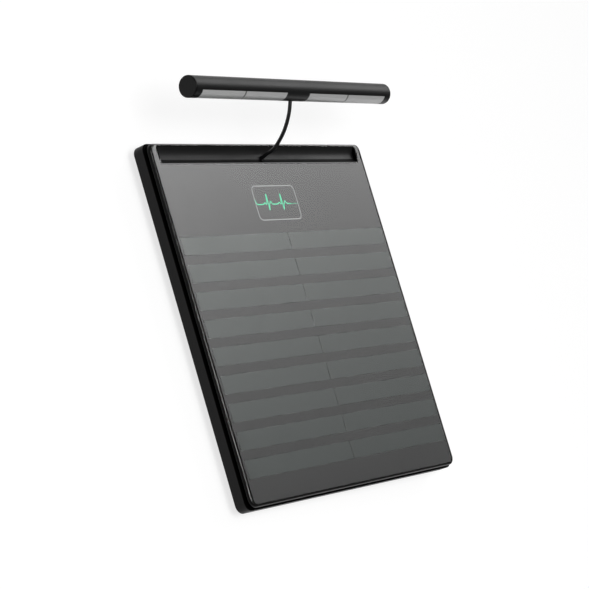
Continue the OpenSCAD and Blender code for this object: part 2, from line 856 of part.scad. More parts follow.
// Steel plate with a bending tongue, cut free on three sides
module load_cell(i) color("#a9adb1") translate([foot_places[i][0], foot_places[i][1], cell_z])
    difference() {
        linear_extrude(cell_t)
            round_square(cell_w, 2);
        translate([0, 0, -cut])
            linear_extrude(cell_t + 2 * cut)
                difference() {
                    translate([-tongue_w / 2 - slot_w, -tongue_w / 2 - slot_w])
                        square([tongue_w + 2 * slot_w, tongue_w + slot_w + 4]);
                    translate([-tongue_w / 2, -tongue_w / 2])
                        square([tongue_w, tongue_w + slot_w + 5]);
                }
        for (s = [-1, 1])
            translate([s * cell_screw_reach, s * cell_screw_reach, -cut])
                cylinder(h = cell_t + 2 * cut, r = small_screw_r + 0.2);
    }

module load_cell_front_left() load_cell(0);
module load_cell_front_right() load_cell(1);
module load_cell_back_left() load_cell(2);
module load_cell_back_right() load_cell(3);

// Stiff carrier that presses the load cell's tongue
module foot_carrier(i) color("#3c3d40") translate([foot_places[i][0], foot_places[i][1], 0]) {
    base_z = pad_h - 1.5;
    translate([0, 0, base_z])
        cylinder(h = tray_z + 1 - base_z, r = carrier_r);
    translate([0, 0, tray_z])
        cylinder(h = cell_z - tray_z, r = press_r);
}

module foot_carrier_front_left() foot_carrier(0);
module foot_carrier_front_right() foot_carrier(1);
module foot_carrier_back_left() foot_carrier(2);
module foot_carrier_back_right() foot_carrier(3);

// Rubber pad with a rounded lower edge and a shallow grip ring underneath
module foot_pad(i) color("#1b1b1c") translate([foot_places[i][0], foot_places[i][1], 0])
    difference() {
        rotate_extrude()
            pan_section(pad_r, pad_h, 1.2);
        translate([0, 0, pad_h - 1.5])
            cylinder(h = 3, r = carrier_r + fit_gap);
        translate([0, 0, -cut])
            difference() {
                cylinder(h = cut + 0.5, r = pad_r - 4);
                translate([0, 0, -cut])
                    cylinder(h = 3 * cut, r = pad_r - 5.5);
            }
    }

module foot_pad_front_left() foot_pad(0);
module foot_pad_front_right() foot_pad(1);
module foot_pad_back_left() foot_pad(2);
module foot_pad_back_right() foot_pad(3);

// Screws

// Pan head screw with its head down and a cross slot; z = 0 is under the head
module screw(r, head_r, head_h, l) {
    cylinder(h = l, r = r);
    translate([0, 0, -head_h])
        difference() {
            cylinder(h = head_h, r = head_r);
            for (turn = [0, 90]) rotate(turn)
                translate([0, 0, 0.2])
                    cube([head_r * 1.2, 0.6, 1], center = true);
        }
}

module housing_screws() color("#8f9396")
    at_places(screw_places, tray_z + screw_head_h + 0.6)
        screw(screw_r, screw_head_r, screw_head_h, frame_z - tray_z - screw_head_h - 1.2);

module load_cell_screws() color("#8f9396") at_cell_screws(cell_z + cell_t)
    mirror([0, 0, 1])
        screw(small_screw_r, small_head_r, small_head_h, cell_z + cell_t - floor_z - 0.6);

module reel_screws() color("#8f9396") at_ears(cover_z + housing_t)
    mirror([0, 0, 1])
        screw(small_screw_r, small_head_r, small_head_h, cover_z - floor_z - 0.6);

module board_screws() color("#8f9396") at_board_screws(board_z + board_t)
    mirror([0, 0, 1])
        screw(small_screw_r, small_head_r, small_head_h, board_z + board_t - floor_z - 0.6);

// Hand bar, drawn along X with its cord side facing down, then put in its place

module in_hand_bar() {
    translate([0, bar_y, bar_z])
        rotate([-bar_roll, 0, 0])
            children();
}

// Ring sector around X, facing down, from radius a to b
module wrap(a, b, l, half_angle) {
    rotate([0, 90, 0])
        linear_extrude(l, center = true)
            difference() {
                circle(b);
                circle(a);
                for (s = [-1, 1]) rotate(s * (90 + half_angle))
                    translate([0, -2 * b])
                        square(4 * b);
            }
}

module handle_shell() color("#2b2b2d") in_hand_bar() difference() {
    rotate([0, 90, 0])
        cylinder(h = bar_l - 2 * cap_t, r = bar_r, center = true);
    rotate([0, 90, 0])
        cylinder(h = bar_l, r = bar_bore_r, center = true);
    for (x = [-1, 1])
        translate([x * (electrode_start + electrode_l + electrode_gap / 2), 0, 0])
            wrap(bar_r - electrode_recess, bar_r + 1, 2 * electrode_l + electrode_gap + 0.2,
                electrode_half_angle + 0.4);
    translate([0, 0, -bar_r - cut])
        cylinder(h = bar_r, r = gland_r + fit_gap);
    for (x = electrode_places) for (s = [-1, 1])
        translate([x + s * pin_reach, 0, 0])
            rotate([180, 0, 0])
                cylinder(h = bar_r, r = pin_r + fit_gap, $fn = 24);
}

// End cap; side is -1 for left and 1 for right
module end_cap(side) color("#252526") in_hand_bar() on_side(side)
    translate([bar_l / 2 - cap_t, 0, 0])
        rotate([0, 90, 0])
            rotate_extrude() {
                pan_top(bar_r, cap_t, cap_edge_r);
                translate([0, -cap_plug])
                    difference() {
                        square([bar_bore_r - fit_gap, cap_plug + 0.5]);
                        translate([0, -cut])
                            square([bar_bore_r - 1.6, cap_plug]);
                    }
            }

// Half section of a disc whose upper edge is rounded
module pan_top(half, h, edge) {
    square([half - edge, h]);
    square([half, h - edge]);
    translate([half - edge, h - edge])
        circle(edge, $fn = 24);
}

module on_side(side) {
    if (side > 0) children();
    else mirror([1, 0, 0]) children();
}

module handle_cap_left() end_cap(-1);
module handle_cap_right() end_cap(1);

module hand_electrode(i) color("#c9cacb") in_hand_bar() translate([electrode_places[i], 0, 0])
    wrap(bar_r - electrode_recess + fit_gap, bar_r - electrode_recess + electrode_t,
        electrode_l, electrode_half_angle);

module electrode_left_outer() hand_electrode(0);
module electrode_left_inner() hand_electrode(1);
module electrode_right_inner() hand_electrode(2);
module electrode_right_outer() hand_electrode(3);

// Rubber plug that holds the cord's end in the bar's cord side
module cord_gland() color("#1f1f20") in_hand_bar() rotate([180, 0, 0])
    translate([0, 0, gland_inner])
        cylinder(h = gland_face - gland_inner, r = gland_r);

module handle_board() color("#1f5a3c") in_hand_bar()
    translate([-bar_board_l / 2, -bar_board_w / 2, -board_drop - board_t])
        cube([bar_board_l, bar_board_w, board_t]);

// Contact pins from the board to the back of each electrode
module electrode_pins() color("#c9a95a") in_hand_bar()
    for (x = electrode_places) for (s = [-1, 1])
        translate([x + s * pin_reach, 0, -board_drop - board_t])
            rotate([180, 0, 0])
                cylinder(h = bar_r - electrode_recess - board_drop - board_t, r = pin_r, $fn = 24);

base_tray();
upper_frame();
glass_platform();
electrode_film_left();
electrode_film_right();
display_panel();
handle_cradle();
cradle_eyelet();
cord_guide();
reel_housing();
reel_cover();
reel_axle();
reel_spring();
reel_drum();
wound_cord();
cord_lead();
handle_cord();
main_board();
radio_shield();
battery_pack();
charge_board();
charge_socket();
button_switch();
pairing_button();
load_cell_front_left();
load_cell_front_right();
load_cell_back_left();
load_cell_back_right();
foot_carrier_front_left();
foot_carrier_front_right();
foot_carrier_back_left();
foot_carrier_back_right();
foot_pad_front_left();
foot_pad_front_right();
foot_pad_back_left();
foot_pad_back_right();
housing_screws();
load_cell_screws();
reel_screws();
board_screws();
handle_shell();
handle_cap_left();
handle_cap_right();
electrode_left_outer();
electrode_left_inner();
electrode_right_inner();
electrode_right_outer();
cord_gland();
handle_board();
electrode_pins();
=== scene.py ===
"""Dresses the smart bathroom scale: glass platform, foot electrodes, hand bar on its cord, and the studio."""
import logging
import math
from dataclasses import dataclass, field
from enum import Enum
from typing import Callable, Iterable, Sequence

import bmesh
import bpy
from mathutils import Matrix, Vector


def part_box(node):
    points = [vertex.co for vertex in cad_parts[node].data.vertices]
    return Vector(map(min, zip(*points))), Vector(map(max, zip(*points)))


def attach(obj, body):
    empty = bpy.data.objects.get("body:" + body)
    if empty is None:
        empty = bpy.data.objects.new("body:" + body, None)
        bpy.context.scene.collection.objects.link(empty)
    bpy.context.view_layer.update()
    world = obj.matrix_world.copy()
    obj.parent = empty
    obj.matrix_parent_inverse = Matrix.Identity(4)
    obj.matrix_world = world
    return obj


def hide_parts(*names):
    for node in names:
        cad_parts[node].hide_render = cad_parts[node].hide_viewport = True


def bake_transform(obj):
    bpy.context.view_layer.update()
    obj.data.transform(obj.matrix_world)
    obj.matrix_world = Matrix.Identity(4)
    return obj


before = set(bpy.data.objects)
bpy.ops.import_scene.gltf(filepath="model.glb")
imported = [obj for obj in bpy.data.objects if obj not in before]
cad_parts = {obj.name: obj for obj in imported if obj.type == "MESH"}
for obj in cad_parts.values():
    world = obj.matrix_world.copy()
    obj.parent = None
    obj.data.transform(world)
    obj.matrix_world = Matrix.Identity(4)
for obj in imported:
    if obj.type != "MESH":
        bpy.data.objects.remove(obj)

MM = 0.001
SMOOTH_DEGREES = 50.0
LEVEL_NORMAL = 0.99999
MITRE_LIMIT = 0.35
TINY = 1e-9
LOG = logging.getLogger("bathroom_scale")
Point = tuple[float, float, float]
Flat = tuple[float, float]
Color = tuple[float, float, float]
Ramp = tuple[float, float, float, float]


class Body(Enum):
    """The rigid bodies that the joints move."""

    PLATFORM = "platform"
    REEL = "reel"
    CORD = "cord"
    HANDLE = "handle"
    BUTTON = "button"


class Side(Enum):
    """Left or right, seen from the front edge."""

    LEFT = -1
    RIGHT = 1


class Wiring:
    """Short calls that add and join the nodes of one tree."""

    def __init__(self, tree: bpy.types.NodeTree) -> None:
        """Takes a tree and empties it.

        Args:
            tree: The tree to build in.
        """
        self.tree = tree
        tree.nodes.clear()

    def feed(self, socket: bpy.types.NodeSocket, value: object) -> None:
        """Joins a socket to another, or sets it.

        Args:
            socket: The input to fill.
            value: An output socket, or a plain value.
        """
        if isinstance(value, bpy.types.NodeSocket):
            self.tree.links.new(value, socket)
        elif isinstance(value, tuple) and socket.type == "RGBA" and len(value) == 3:
            socket.default_value = (*value, 1.0)
        else:
            socket.default_value = value

    def node(self, kind: str, *values: object, settings: dict[str, object] | None = None,
             **named: object) -> bpy.types.Node:
        """Adds a node and fills its inputs.

        Args:
            kind: The node's type name.
            values: What goes into the inputs in their order; None leaves one alone.
            settings: Properties of the node itself.
            named: What goes into inputs by name, with _ for a space.

        Returns:
            The new node.
        """
        made = self.tree.nodes.new(kind)
        for name, value in (settings or {}).items():
            setattr(made, name, value)
        for i, value in enumerate(values):
            if value is not None:
                self.feed(made.inputs[i], value)
        self.set(made, **named)
        return made

    def set(self, node: bpy.types.Node, **named: object) -> None:
        """Fills a node's inputs by name, with _ for a space."""
        for name, value in named.items():
            self.feed(node.inputs[name.replace("_", " ")], value)

    def spot(self) -> bpy.types.NodeSocket:
        """The shaded place on the object, in metres."""
        return self.node("ShaderNodeTexCoord").outputs["Object"]

    def math(self, operation: str, *values: object) -> bpy.types.NodeSocket:
        """Adds a Math node with its inputs in order, and gives its result."""
        return self.node("ShaderNodeMath", *values, settings={"operation": operation}).outputs[0]

    def span(self, value: object, low: float, high: float,
             to_low: float, to_high: float) -> bpy.types.NodeSocket:
        """Maps a value so that low becomes to_low and high becomes to_high, clamped."""
        return self.node("ShaderNodeMapRange", value, low, high, to_low, to_high).outputs[0]

    def blend(self, mask: object, first: object, second: object) -> bpy.types.NodeSocket:
        """Mixes two colours by a mask.

        Args:
            mask: Share of the second colour.
            first: Colour where the mask is 0.
            second: Colour where the mask is 1.

        Returns:
            The mixed colour's socket.
        """
        mix = self.node("ShaderNodeMix", settings={"data_type": "RGBA"})
        self.feed(mix.inputs[0], mask)
        self.feed(mix.inputs[6], first)
        self.feed(mix.inputs[7], second)
        return mix.outputs[2]


class Effects:
    """Shader groups that more than one finish uses, each built once."""

    _made: dict[str, bpy.types.NodeTree] = {}

    @classmethod
    def _group(cls, name: str, inputs: dict[str, float], outputs: Sequence[str],
               fill: Callable[[Wiring, bpy.types.Node, bpy.types.Node], None]) -> bpy.types.NodeTree:
        """Builds a group, or gives the one already built.

        Args:
            name: The group's name.
            inputs: Its number inputs and what they start at.
            outputs: Names of its number outputs.
            fill: Joins the group's inside, given the wiring and its two ends.

        Returns:
            The shader group.
        """
        if name in cls._made:
            return cls._made[name]
        tree = bpy.data.node_groups.new(name, "ShaderNodeTree")
        for label, start in inputs.items():
            socket = tree.interface.new_socket(label, in_out="INPUT", socket_type="NodeSocketFloat")
            socket.default_value = start
        for label in outputs:
            tree.interface.new_socket(label, in_out="OUTPUT", socket_type="NodeSocketFloat")
        wiring = Wiring(tree)
        fill(wiring, tree.nodes.new("NodeGroupInput"), tree.nodes.new("NodeGroupOutput"))
        cls._made[name] = tree
        return tree

    @classmethod
    def moulded_grain(cls) -> bpy.types.NodeTree:
        """Fine moulded texture with a broad drift of tone.

        Returns:
            A group that puts out Height, Roughness and Tone.
        """

        def fill(w: Wiring, start: bpy.types.Node, end: bpy.types.Node) -> None:
            """Joins the noises.

            Args:
                w: The group's wiring.
                start: The group's inputs.
                end: The group's outputs.
            """
            place = w.spot()
            fine = w.node("ShaderNodeTexNoise", Vector=place, Scale=start.outputs["Grain"],
                          Detail=3.0, Roughness=0.6)
            broad = w.node("ShaderNodeTexNoise", Vector=place, Scale=start.outputs["Drift"],
                           Detail=4.0, Roughness=0.55)
            centred = w.math("SUBTRACT", broad.outputs[0], 0.5)
            speck = w.math("SUBTRACT", fine.outputs[0], 0.5)
            sway = w.math("ADD", centred, w.math("MULTIPLY", speck, 0.5))
            rough = w.math("MULTIPLY_ADD", sway, start.outputs["Spread"], start.outputs["Roughness"])
            w.set(end, Height=fine.outputs[0], Roughness=rough,
                  Tone=w.span(broad.outputs[0], 0.35, 0.65, 0.0, 1.0))

        return cls._group("Moulded grain", {"Grain": 2400.0, "Drift": 22.0, "Roughness": 0.45, "Spread": 0.2},
                          ("Height", "Roughness", "Tone"), fill)

    @classmethod
    def brushed_streaks(cls) -> bpy.types.NodeTree:
        """Fine streaks along X, as on drawn or brushed metal.

        Returns:
            A group that puts out Height, Roughness and Tone.
        """

        def fill(w: Wiring, start: bpy.types.Node, end: bpy.types.Node) -> None:
            """Joins the stretched noise.

            Args:
                w: The group's wiring.
                start: The group's inputs.
                end: The group's outputs.
            """
            place = w.spot()
            squeezed = w.node("ShaderNodeVectorMath", place, (0.02, 1.0, 1.0),
                              settings={"operation": "MULTIPLY"})
            streak = w.node("ShaderNodeTexNoise", Vector=squeezed.outputs[0],
                            Scale=start.outputs["Grain"], Detail=5.0)
            centred = w.math("SUBTRACT", streak.outputs[0], 0.5)
            rough = w.math("MULTIPLY_ADD", centred, start.outputs["Spread"], start.outputs["Roughness"])
            w.set(end, Height=streak.outputs[0], Roughness=rough,
                  Tone=w.span(streak.outputs[0], 0.3, 0.7, 0.0, 1.0))

        return cls._group("Brushed streaks", {"Grain": 3500.0, "Roughness": 0.3, "Spread": 0.3},
                          ("Height", "Roughness", "Tone"), fill)

    @classmethod
    def handling_marks(cls) -> bpy.types.NodeTree:
        """Faint smears and dust, as on a wiped glossy face.

        Returns:
            A group that puts out Mask, from 0 on a clean spot to 1 on a smear.
        """

        def fill(w: Wiring, start: bpy.types.Node, end: bpy.types.Node) -> None:
            """Joins the smears and the specks.

            Args:
                w: The group's wiring.
                start: The group's inputs.
                end: The group's outputs.
            """
            place = w.spot()
            smear = w.node("ShaderNodeTexNoise", Vector=place, Scale=start.outputs["Size"],
                           Detail=6.0, Distortion=1.2)
            speck = w.node("ShaderNodeTexNoise", Vector=place, Scale=900.0, Detail=1.0)
            dust = w.span(speck.outputs[0], 0.72, 0.78, 0.0, 0.6)
            soft = w.span(smear.outputs[0], 0.45, 0.8, 0.0, 1.0)
            w.set(end, Mask=w.math("MAXIMUM", soft, dust))

        return cls._group("Handling marks", {"Size": 14.0}, ("Mask",), fill)

    @staticmethod
    def place(w: Wiring, tree: bpy.types.NodeTree, **values: float) -> bpy.types.Node:
        """Puts a group into a material, its inputs set by name."""
        return w.node("ShaderNodeGroup", settings={"node_tree": tree}, **values)


@dataclass(frozen=True)
class Finish:
    """What every finish has: a name, and a material that is made once."""

    name: str

    def material(self) -> bpy.types.Material:
        """The finish's material, built on its first use.

        Returns:
            The material.
        """
        known = bpy.data.materials.get(self.name)
        if known is not None and known.get("finish"):
            return known
        made = bpy.data.materials.new(self.name)
        made["finish"] = True
        made.use_nodes = True
        w = Wiring(made.node_tree)
        shader = w.node("ShaderNodeBsdfPrincipled")
        out = w.node("ShaderNodeOutputMaterial")
        w.set(out, Surface=shader.outputs[0])
        self.wire(w, shader)
        return made

    def wire(self, w: Wiring, shader: bpy.types.Node) -> None:
        """Sets the shader and joins what varies; each finish has its own."""
        raise NotImplementedError


@dataclass(frozen=True)
class Moulded(Finish):
    """Moulded plastic or rubber with a fine grain."""

    tone: Color = (0.02, 0.02, 0.02)
    second_tone: Color = (0.024, 0.024, 0.025)
    roughness: float = 0.45
    spread: float = 0.2
    grain: float = 2400.0
    depth: float = 0.02 * MM
    specular: float = 0.5
    relief: float = 0.6

    def wire(self, w: Wiring, shader: bpy.types.Node) -> None:
        """Joins the grain to colour, roughness and bump.

        Args:
            w: The material's wiring.
            shader: The Principled BSDF.
        """
        grain = Effects.place(w, Effects.moulded_grain(), Grain=self.grain,
                              Roughness=self.roughness, Spread=self.spread)
        bump = w.node("ShaderNodeBump", Strength=self.relief, Distance=self.depth,
                      Height=grain.outputs["Height"])
        w.set(shader, Base_Color=w.blend(grain.outputs["Tone"], self.tone, self.second_tone),
              Roughness=grain.outputs["Roughness"], Specular_IOR_Level=self.specular,
              Normal=bump.outputs[0])


@dataclass(frozen=True)
class LedgeShadeMoulded(Moulded):
    """Moulded plastic whose top ledge is darkened almost to black as painted shade, standing in for the
    shadow in the gap under the glass.
    """

    ledge_z: float = 19.25 * MM
    ledge_shade_tone: Color = (0.0012, 0.0012, 0.0012)
    ledge_shade_specular: float = 0.02

    def wire(self, w: Wiring, shader: bpy.types.Node) -> None:
        """Joins the grain, and the painted shade above the ledge's height.

        Args:
            w: The material's wiring.
            shader: The Principled BSDF.
        """
        super().wire(w, shader)
        plain = shader.inputs["Base Color"].links[0].from_socket
        height = w.node("ShaderNodeSeparateXYZ", w.spot()).outputs["Z"]
        # Painted shade: above the ledge's height the colour goes nearly black and the specular dull, like the
        # shadowed gap.
        mask = w.math("GREATER_THAN", height, self.ledge_z)
        dulled = w.span(mask, 0.0, 1.0, self.specular, self.ledge_shade_specular)
        w.set(shader, Base_Color=w.blend(mask, plain, self.ledge_shade_tone), Specular_IOR_Level=dulled)


@dataclass(frozen=True)
class Polished(Finish):
    """Smooth glossy plastic with faint handling marks."""

    tone: Color = (0.012, 0.012, 0.013)
    smeared: Color = (0.02, 0.02, 0.021)
    roughness: float = 0.1
    smear_roughness: float = 0.24
    smear_size: float = 40.0

    def wire(self, w: Wiring, shader: bpy.types.Node) -> None:
        """Joins the marks to colour and roughness.

        Args:
            w: The material's wiring.
            shader: The Principled BSDF.
        """
        marks = Effects.place(w, Effects.handling_marks(), Size=self.smear_size).outputs["Mask"]
        w.set(shader, Base_Color=w.blend(marks, self.tone, self.smeared),
              Roughness=w.span(marks, 0.0, 1.0, self.roughness, self.smear_roughness))


@dataclass(frozen=True)
class Trough(Polished):
    """Satin plastic with a glossy front rim, and a painted shade lip, nearly black and dull, along the front,
    the ends and the back rim where the trough's edges lie in shadow.
    """

    rim_z: float = 25.9 * MM
    lip_y: float = 148.1 * MM
    lip_x: float = 150.4 * MM
    inner_specular: float = 0.33
    rim_specular: float = 0.5
    lip_shade_tone: Color = (0.0008, 0.0008, 0.0008)
    lip_shade_specular: float = 0.15
    rim_roughness_share: float = 0.15

    def wire(self, w: Wiring, shader: bpy.types.Node) -> None:
        """Joins the marks, then the rim by its height and the painted shade lip by its place.

        Args:
            w: The material's wiring.
            shader: The Principled BSDF.
        """
        super().wire(w, shader)
        x, y, z = w.node("ShaderNodeSeparateXYZ", w.spot()).outputs
        level = w.math("GREATER_THAN", z, self.rim_z)
        near = w.math("LESS_THAN", y, self.lip_y)
        rim = w.math("MULTIPLY", level, near)
        ends = w.math("GREATER_THAN", w.math("ABSOLUTE", x), self.lip_x)
        edge = w.math("MAXIMUM", w.math("MAXIMUM", near, ends), level)
        # Painted shade: the lip is made nearly black and dull where the trough's edges fall in shadow.
        lip = w.math("MULTIPLY", edge, w.math("SUBTRACT", 1.0, rim))
        color, rough = (shader.inputs[name].links[0].from_socket for name in ("Base Color", "Roughness"))
        gloss = w.span(rim, 0.0, 1.0, self.inner_specular, self.rim_specular)
        dulled = w.span(lip, 0.0, 1.0, 1.0, self.lip_shade_specular)
        polish = w.span(rim, 0.0, 1.0, 1.0, self.rim_roughness_share)
        w.set(shader, Base_Color=w.blend(lip, color, self.lip_shade_tone),
              Specular_IOR_Level=w.math("MULTIPLY", gloss, dulled),
              Roughness=w.math("MULTIPLY", rough, polish))


@dataclass(frozen=True)
class Brushed(Finish):
    """Metal with fine streaks along X."""

    tone: Color = (0.6, 0.6, 0.6)
    second_tone: Color = (0.5, 0.5, 0.5)
    roughness: float = 0.32
    spread: float = 0.25
    grain: float = 3500.0
    metal: float = 1.0
    depth: float = 0.005 * MM
    relief: float = 0.3

    def wire(self, w: Wiring, shader: bpy.types.Node) -> None:
        """Joins the streaks to colour, roughness and bump.

        Args:
            w: The material's wiring.
            shader: The Principled BSDF.
        """
        streaks = Effects.place(w, Effects.brushed_streaks(), Grain=self.grain,
                                Roughness=self.roughness, Spread=self.spread)
        bump = w.node("ShaderNodeBump", Strength=self.relief, Distance=self.depth,
                      Height=streaks.outputs["Height"])
        w.set(shader, Base_Color=w.blend(streaks.outputs["Tone"], self.tone, self.second_tone),
              Roughness=streaks.outputs["Roughness"], Metallic=self.metal, Normal=bump.outputs[0])


@dataclass(frozen=True)
class ClearGlass(Finish):
    """Tempered clear glass with faint handling marks."""

    tone: Color = (0.86, 0.9, 0.88)
    ior: float = 1.52
    smear_size: float = 9.0
    film: float = 0.12
    film_roughness: float = 0.3

    def wire(self, w: Wiring, shader: bpy.types.Node) -> None:
        """Joins the marks to a thin film over the glass.

        Args:
            w: The material's wiring.
            shader: The Principled BSDF.
        """
        marks = Effects.place(w, Effects.handling_marks(), Size=self.smear_size).outputs["Mask"]
        w.set(shader, Base_Color=self.tone, Transmission_Weight=1.0, IOR=self.ior, Roughness=0.0,
              Coat_Roughness=self.film_roughness, Coat_Weight=w.span(marks, 0.0, 1.0, 0.0, self.film))


@dataclass(frozen=True)
class Coating(Finish):
    """Thin clear conductive coating on the glass."""

    tone: Color = (0.008, 0.017, 0.0145)
    sheen: Color = (0.97, 1.0, 0.985)
    cover: float = 0.55
    ior: float = 1.9
    smear_size: float = 11.0
    roughness: float = 0.05
    smear_roughness: float = 0.2

    def wire(self, w: Wiring, shader: bpy.types.Node) -> None:
        """Joins the marks to roughness, and lets the glass show through.

        Args:
            w: The material's wiring.
            shader: The Principled BSDF.
        """
        marks = Effects.place(w, Effects.handling_marks(), Size=self.smear_size).outputs["Mask"]
        w.set(shader, Base_Color=self.tone, IOR=self.ior, Alpha=self.cover, Specular_Tint=self.sheen,
              Roughness=w.span(marks, 0.0, 1.0, self.roughness, self.smear_roughness))


@dataclass(frozen=True)
class BackPrint(Finish):
    """Dense ink printed on the back of the glass."""

    tone: Color = (0.006, 0.006, 0.006)
    second_tone: Color = (0.009, 0.009, 0.009)
    roughness: float = 0.5
    spread: float = 0.1
    grain: float = 6000.0

    def wire(self, w: Wiring, shader: bpy.types.Node) -> None:
        """Joins a faint drift of tone.

        Args:
            w: The material's wiring.
            shader: The Principled BSDF.
        """
        grain = Effects.place(w, Effects.moulded_grain(), Grain=self.grain,
                              Roughness=self.roughness, Spread=self.spread)
        w.set(shader, Base_Color=w.blend(grain.outputs["Tone"], self.tone, self.second_tone),
              Roughness=grain.outputs["Roughness"], Specular_IOR_Level=0.0)


@dataclass(frozen=True)
class Lit(Finish):
    """Lit graphics of the display."""

    glow: Color = (0.1, 0.5, 0.3)
    dim: float = 0.9
    flicker: float = 400.0
    roughness: float = 0.6

    def wire(self, w: Wiring, shader: bpy.types.Node) -> None:
        """Joins a slight flicker of brightness over the graphics.

        Args:
            w: The material's wiring.
            shader: The Principled BSDF.
        """
        noise = w.node("ShaderNodeTexNoise", Vector=w.spot(), Scale=self.flicker, Detail=1.0)
        dimmed = tuple(level * self.dim for level in self.glow)
        w.set(shader, Base_Color=(0.0, 0.0, 0.0), Roughness=self.roughness, Specular_IOR_Level=0.0,
              Emission_Color=w.blend(noise.outputs[0], self.glow, dimmed), Emission_Strength=1.0)


@dataclass(frozen=True)
class Circuit(Finish):
    """Green circuit board with copper traces under its mask."""

    tone: Color = (0.01, 0.07, 0.03)
    trace: Color = (0.02, 0.13, 0.05)
    cells: float = 420.0
    trace_edge: Ramp = (0.42, 0.46, 0.0, 1.0)
    sheen: Ramp = (0.0, 0.6, 0.25, 0.4)
    depth: float = 0.03 * MM
    relief: float = 0.4

    def wire(self, w: Wiring, shader: bpy.types.Node) -> None:
        """Joins a pattern of straight traces.

        Args:
            w: The material's wiring.
            shader: The Principled BSDF.
        """
        cells = w.node("ShaderNodeTexVoronoi", Vector=w.spot(), Scale=self.cells,
                       settings={"distance": "CHEBYCHEV", "feature": "F1"}).outputs["Distance"]
        mask = w.span(cells, *self.trace_edge)
        bump = w.node("ShaderNodeBump", Strength=self.relief, Distance=self.depth, Height=mask)
        w.set(shader, Base_Color=w.blend(mask, self.tone, self.trace),
              Roughness=w.span(cells, *self.sheen), Normal=bump.outputs[0])


class Palette:
    """Every finish of the scale."""

    # Tray plastic, with painted shade on its top ledge.
    TRAY = LedgeShadeMoulded("Tray plastic", (0.006, 0.006, 0.0063), (0.0078, 0.0078, 0.008), roughness=0.42,
                   spread=0.15, grain=2600.0, specular=0.15)
    FRAME = Moulded("Frame plastic", (0.0015, 0.0015, 0.0015), (0.0025, 0.0025, 0.0025), roughness=0.6,
                    spread=0.1, grain=2600.0, specular=0.05)
    CRADLE = Trough("Cradle gloss plastic", (0.004, 0.004, 0.0042), (0.006, 0.006, 0.0063), roughness=0.46,
                    smear_roughness=0.55)
    BUSH = Moulded("Eyelet plastic", (0.008, 0.008, 0.0085), (0.011, 0.011, 0.011), roughness=0.4,
                   specular=0.3)
    GUIDE = Moulded("Guide plastic", (0.62, 0.59, 0.52), (0.55, 0.52, 0.46), roughness=0.4, spread=0.1,
                    grain=1800.0)
    REEL = Moulded("Reel housing plastic", (0.03, 0.03, 0.032), (0.036, 0.036, 0.038), roughness=0.5)
    DRUM = Moulded("Reel drum plastic", (0.08, 0.08, 0.085), (0.07, 0.07, 0.075), roughness=0.4)
    CORD = Moulded("Cord sheath", (0.005, 0.005, 0.0053), (0.008, 0.008, 0.0083), roughness=0.38,
                   spread=0.15, grain=5000.0, specular=0.3)
    GLAND = Moulded("Gland rubber", (0.006, 0.006, 0.006), (0.009, 0.009, 0.009), roughness=0.55,
                    specular=0.3)
    HANDLE = Moulded("Hand bar plastic", (0.0018, 0.0018, 0.0019), (0.0028, 0.0028, 0.0029), roughness=0.42,
                     spread=0.1, grain=3200.0, depth=0.012 * MM, specular=0.35)
    CAP = Moulded("End cap plastic", (0.0022, 0.0022, 0.0023), (0.0032, 0.0032, 0.0033), roughness=0.42,
                  spread=0.12, grain=3000.0, depth=0.015 * MM, specular=0.17)
    ELECTRODE = Brushed("Electrode steel", (0.63, 0.63, 0.63), (0.54, 0.54, 0.54), roughness=0.42,
                        spread=0.2, metal=0.3)
    PAD = Moulded("Pad rubber", (0.012, 0.012, 0.012), (0.017, 0.017, 0.017), roughness=0.7, spread=0.15,
                  grain=1600.0, depth=0.04 * MM)
    CARRIER = Moulded("Foot carrier plastic", (0.04, 0.04, 0.042), (0.046, 0.046, 0.048), roughness=0.5)
    CELL = Brushed("Load cell steel", (0.62, 0.63, 0.64), (0.5, 0.51, 0.52), roughness=0.35)
    SCREW = Brushed("Screw steel", (0.38, 0.39, 0.4), (0.3, 0.31, 0.32), roughness=0.3)
    SPRING = Brushed("Spring steel", (0.3, 0.33, 0.36), (0.2, 0.22, 0.25), roughness=0.25)
    AXLE = Brushed("Axle steel", (0.6, 0.61, 0.62), (0.5, 0.51, 0.52), roughness=0.22)
    SHIELD = Brushed("Shield plating", (0.7, 0.7, 0.71), (0.62, 0.62, 0.63), roughness=0.25)
    PIN = Brushed("Pin plating", (0.7, 0.5, 0.2), (0.6, 0.42, 0.16), roughness=0.25)
    BOARD = Circuit("Circuit board")
    BATTERY = Polished("Battery foil", (0.33, 0.35, 0.38), (0.28, 0.3, 0.33), roughness=0.28,
                       smear_roughness=0.45)
    SWITCH = Moulded("Switch housing", (0.02, 0.023, 0.027), (0.026, 0.029, 0.033), roughness=0.45)
    BUTTON = Moulded("Button plastic", (0.016, 0.016, 0.017), (0.02, 0.02, 0.021), roughness=0.35)
    GLASS = ClearGlass("Platform glass")
    # Painted shade: nearly black, dull coat for the glass's steep border and sides, standing in for the dark
    # surroundings they reflect.
    EDGE = Moulded("Glass edge painted shade", (0.003, 0.003, 0.003), (0.0045, 0.0045, 0.0045), roughness=0.3,
                   spread=0.1, grain=4000.0, depth=0.004 * MM, specular=0.12)
    COATING = Coating("Electrode coating")
    PRINT = BackPrint("Back print")
    MODULE = Polished("Display module", (0.01, 0.018, 0.015), (0.014, 0.022, 0.02), roughness=0.15,
                      smear_roughness=0.25)
    OUTLINE = Lit("Display outline", (0.31, 0.315, 0.315))
    TRACE = Lit("Heart trace", (0.02, 0.8, 0.4))
    FAINT_TRACE = Lit("Fading heart trace", (0.01, 0.3, 0.16))


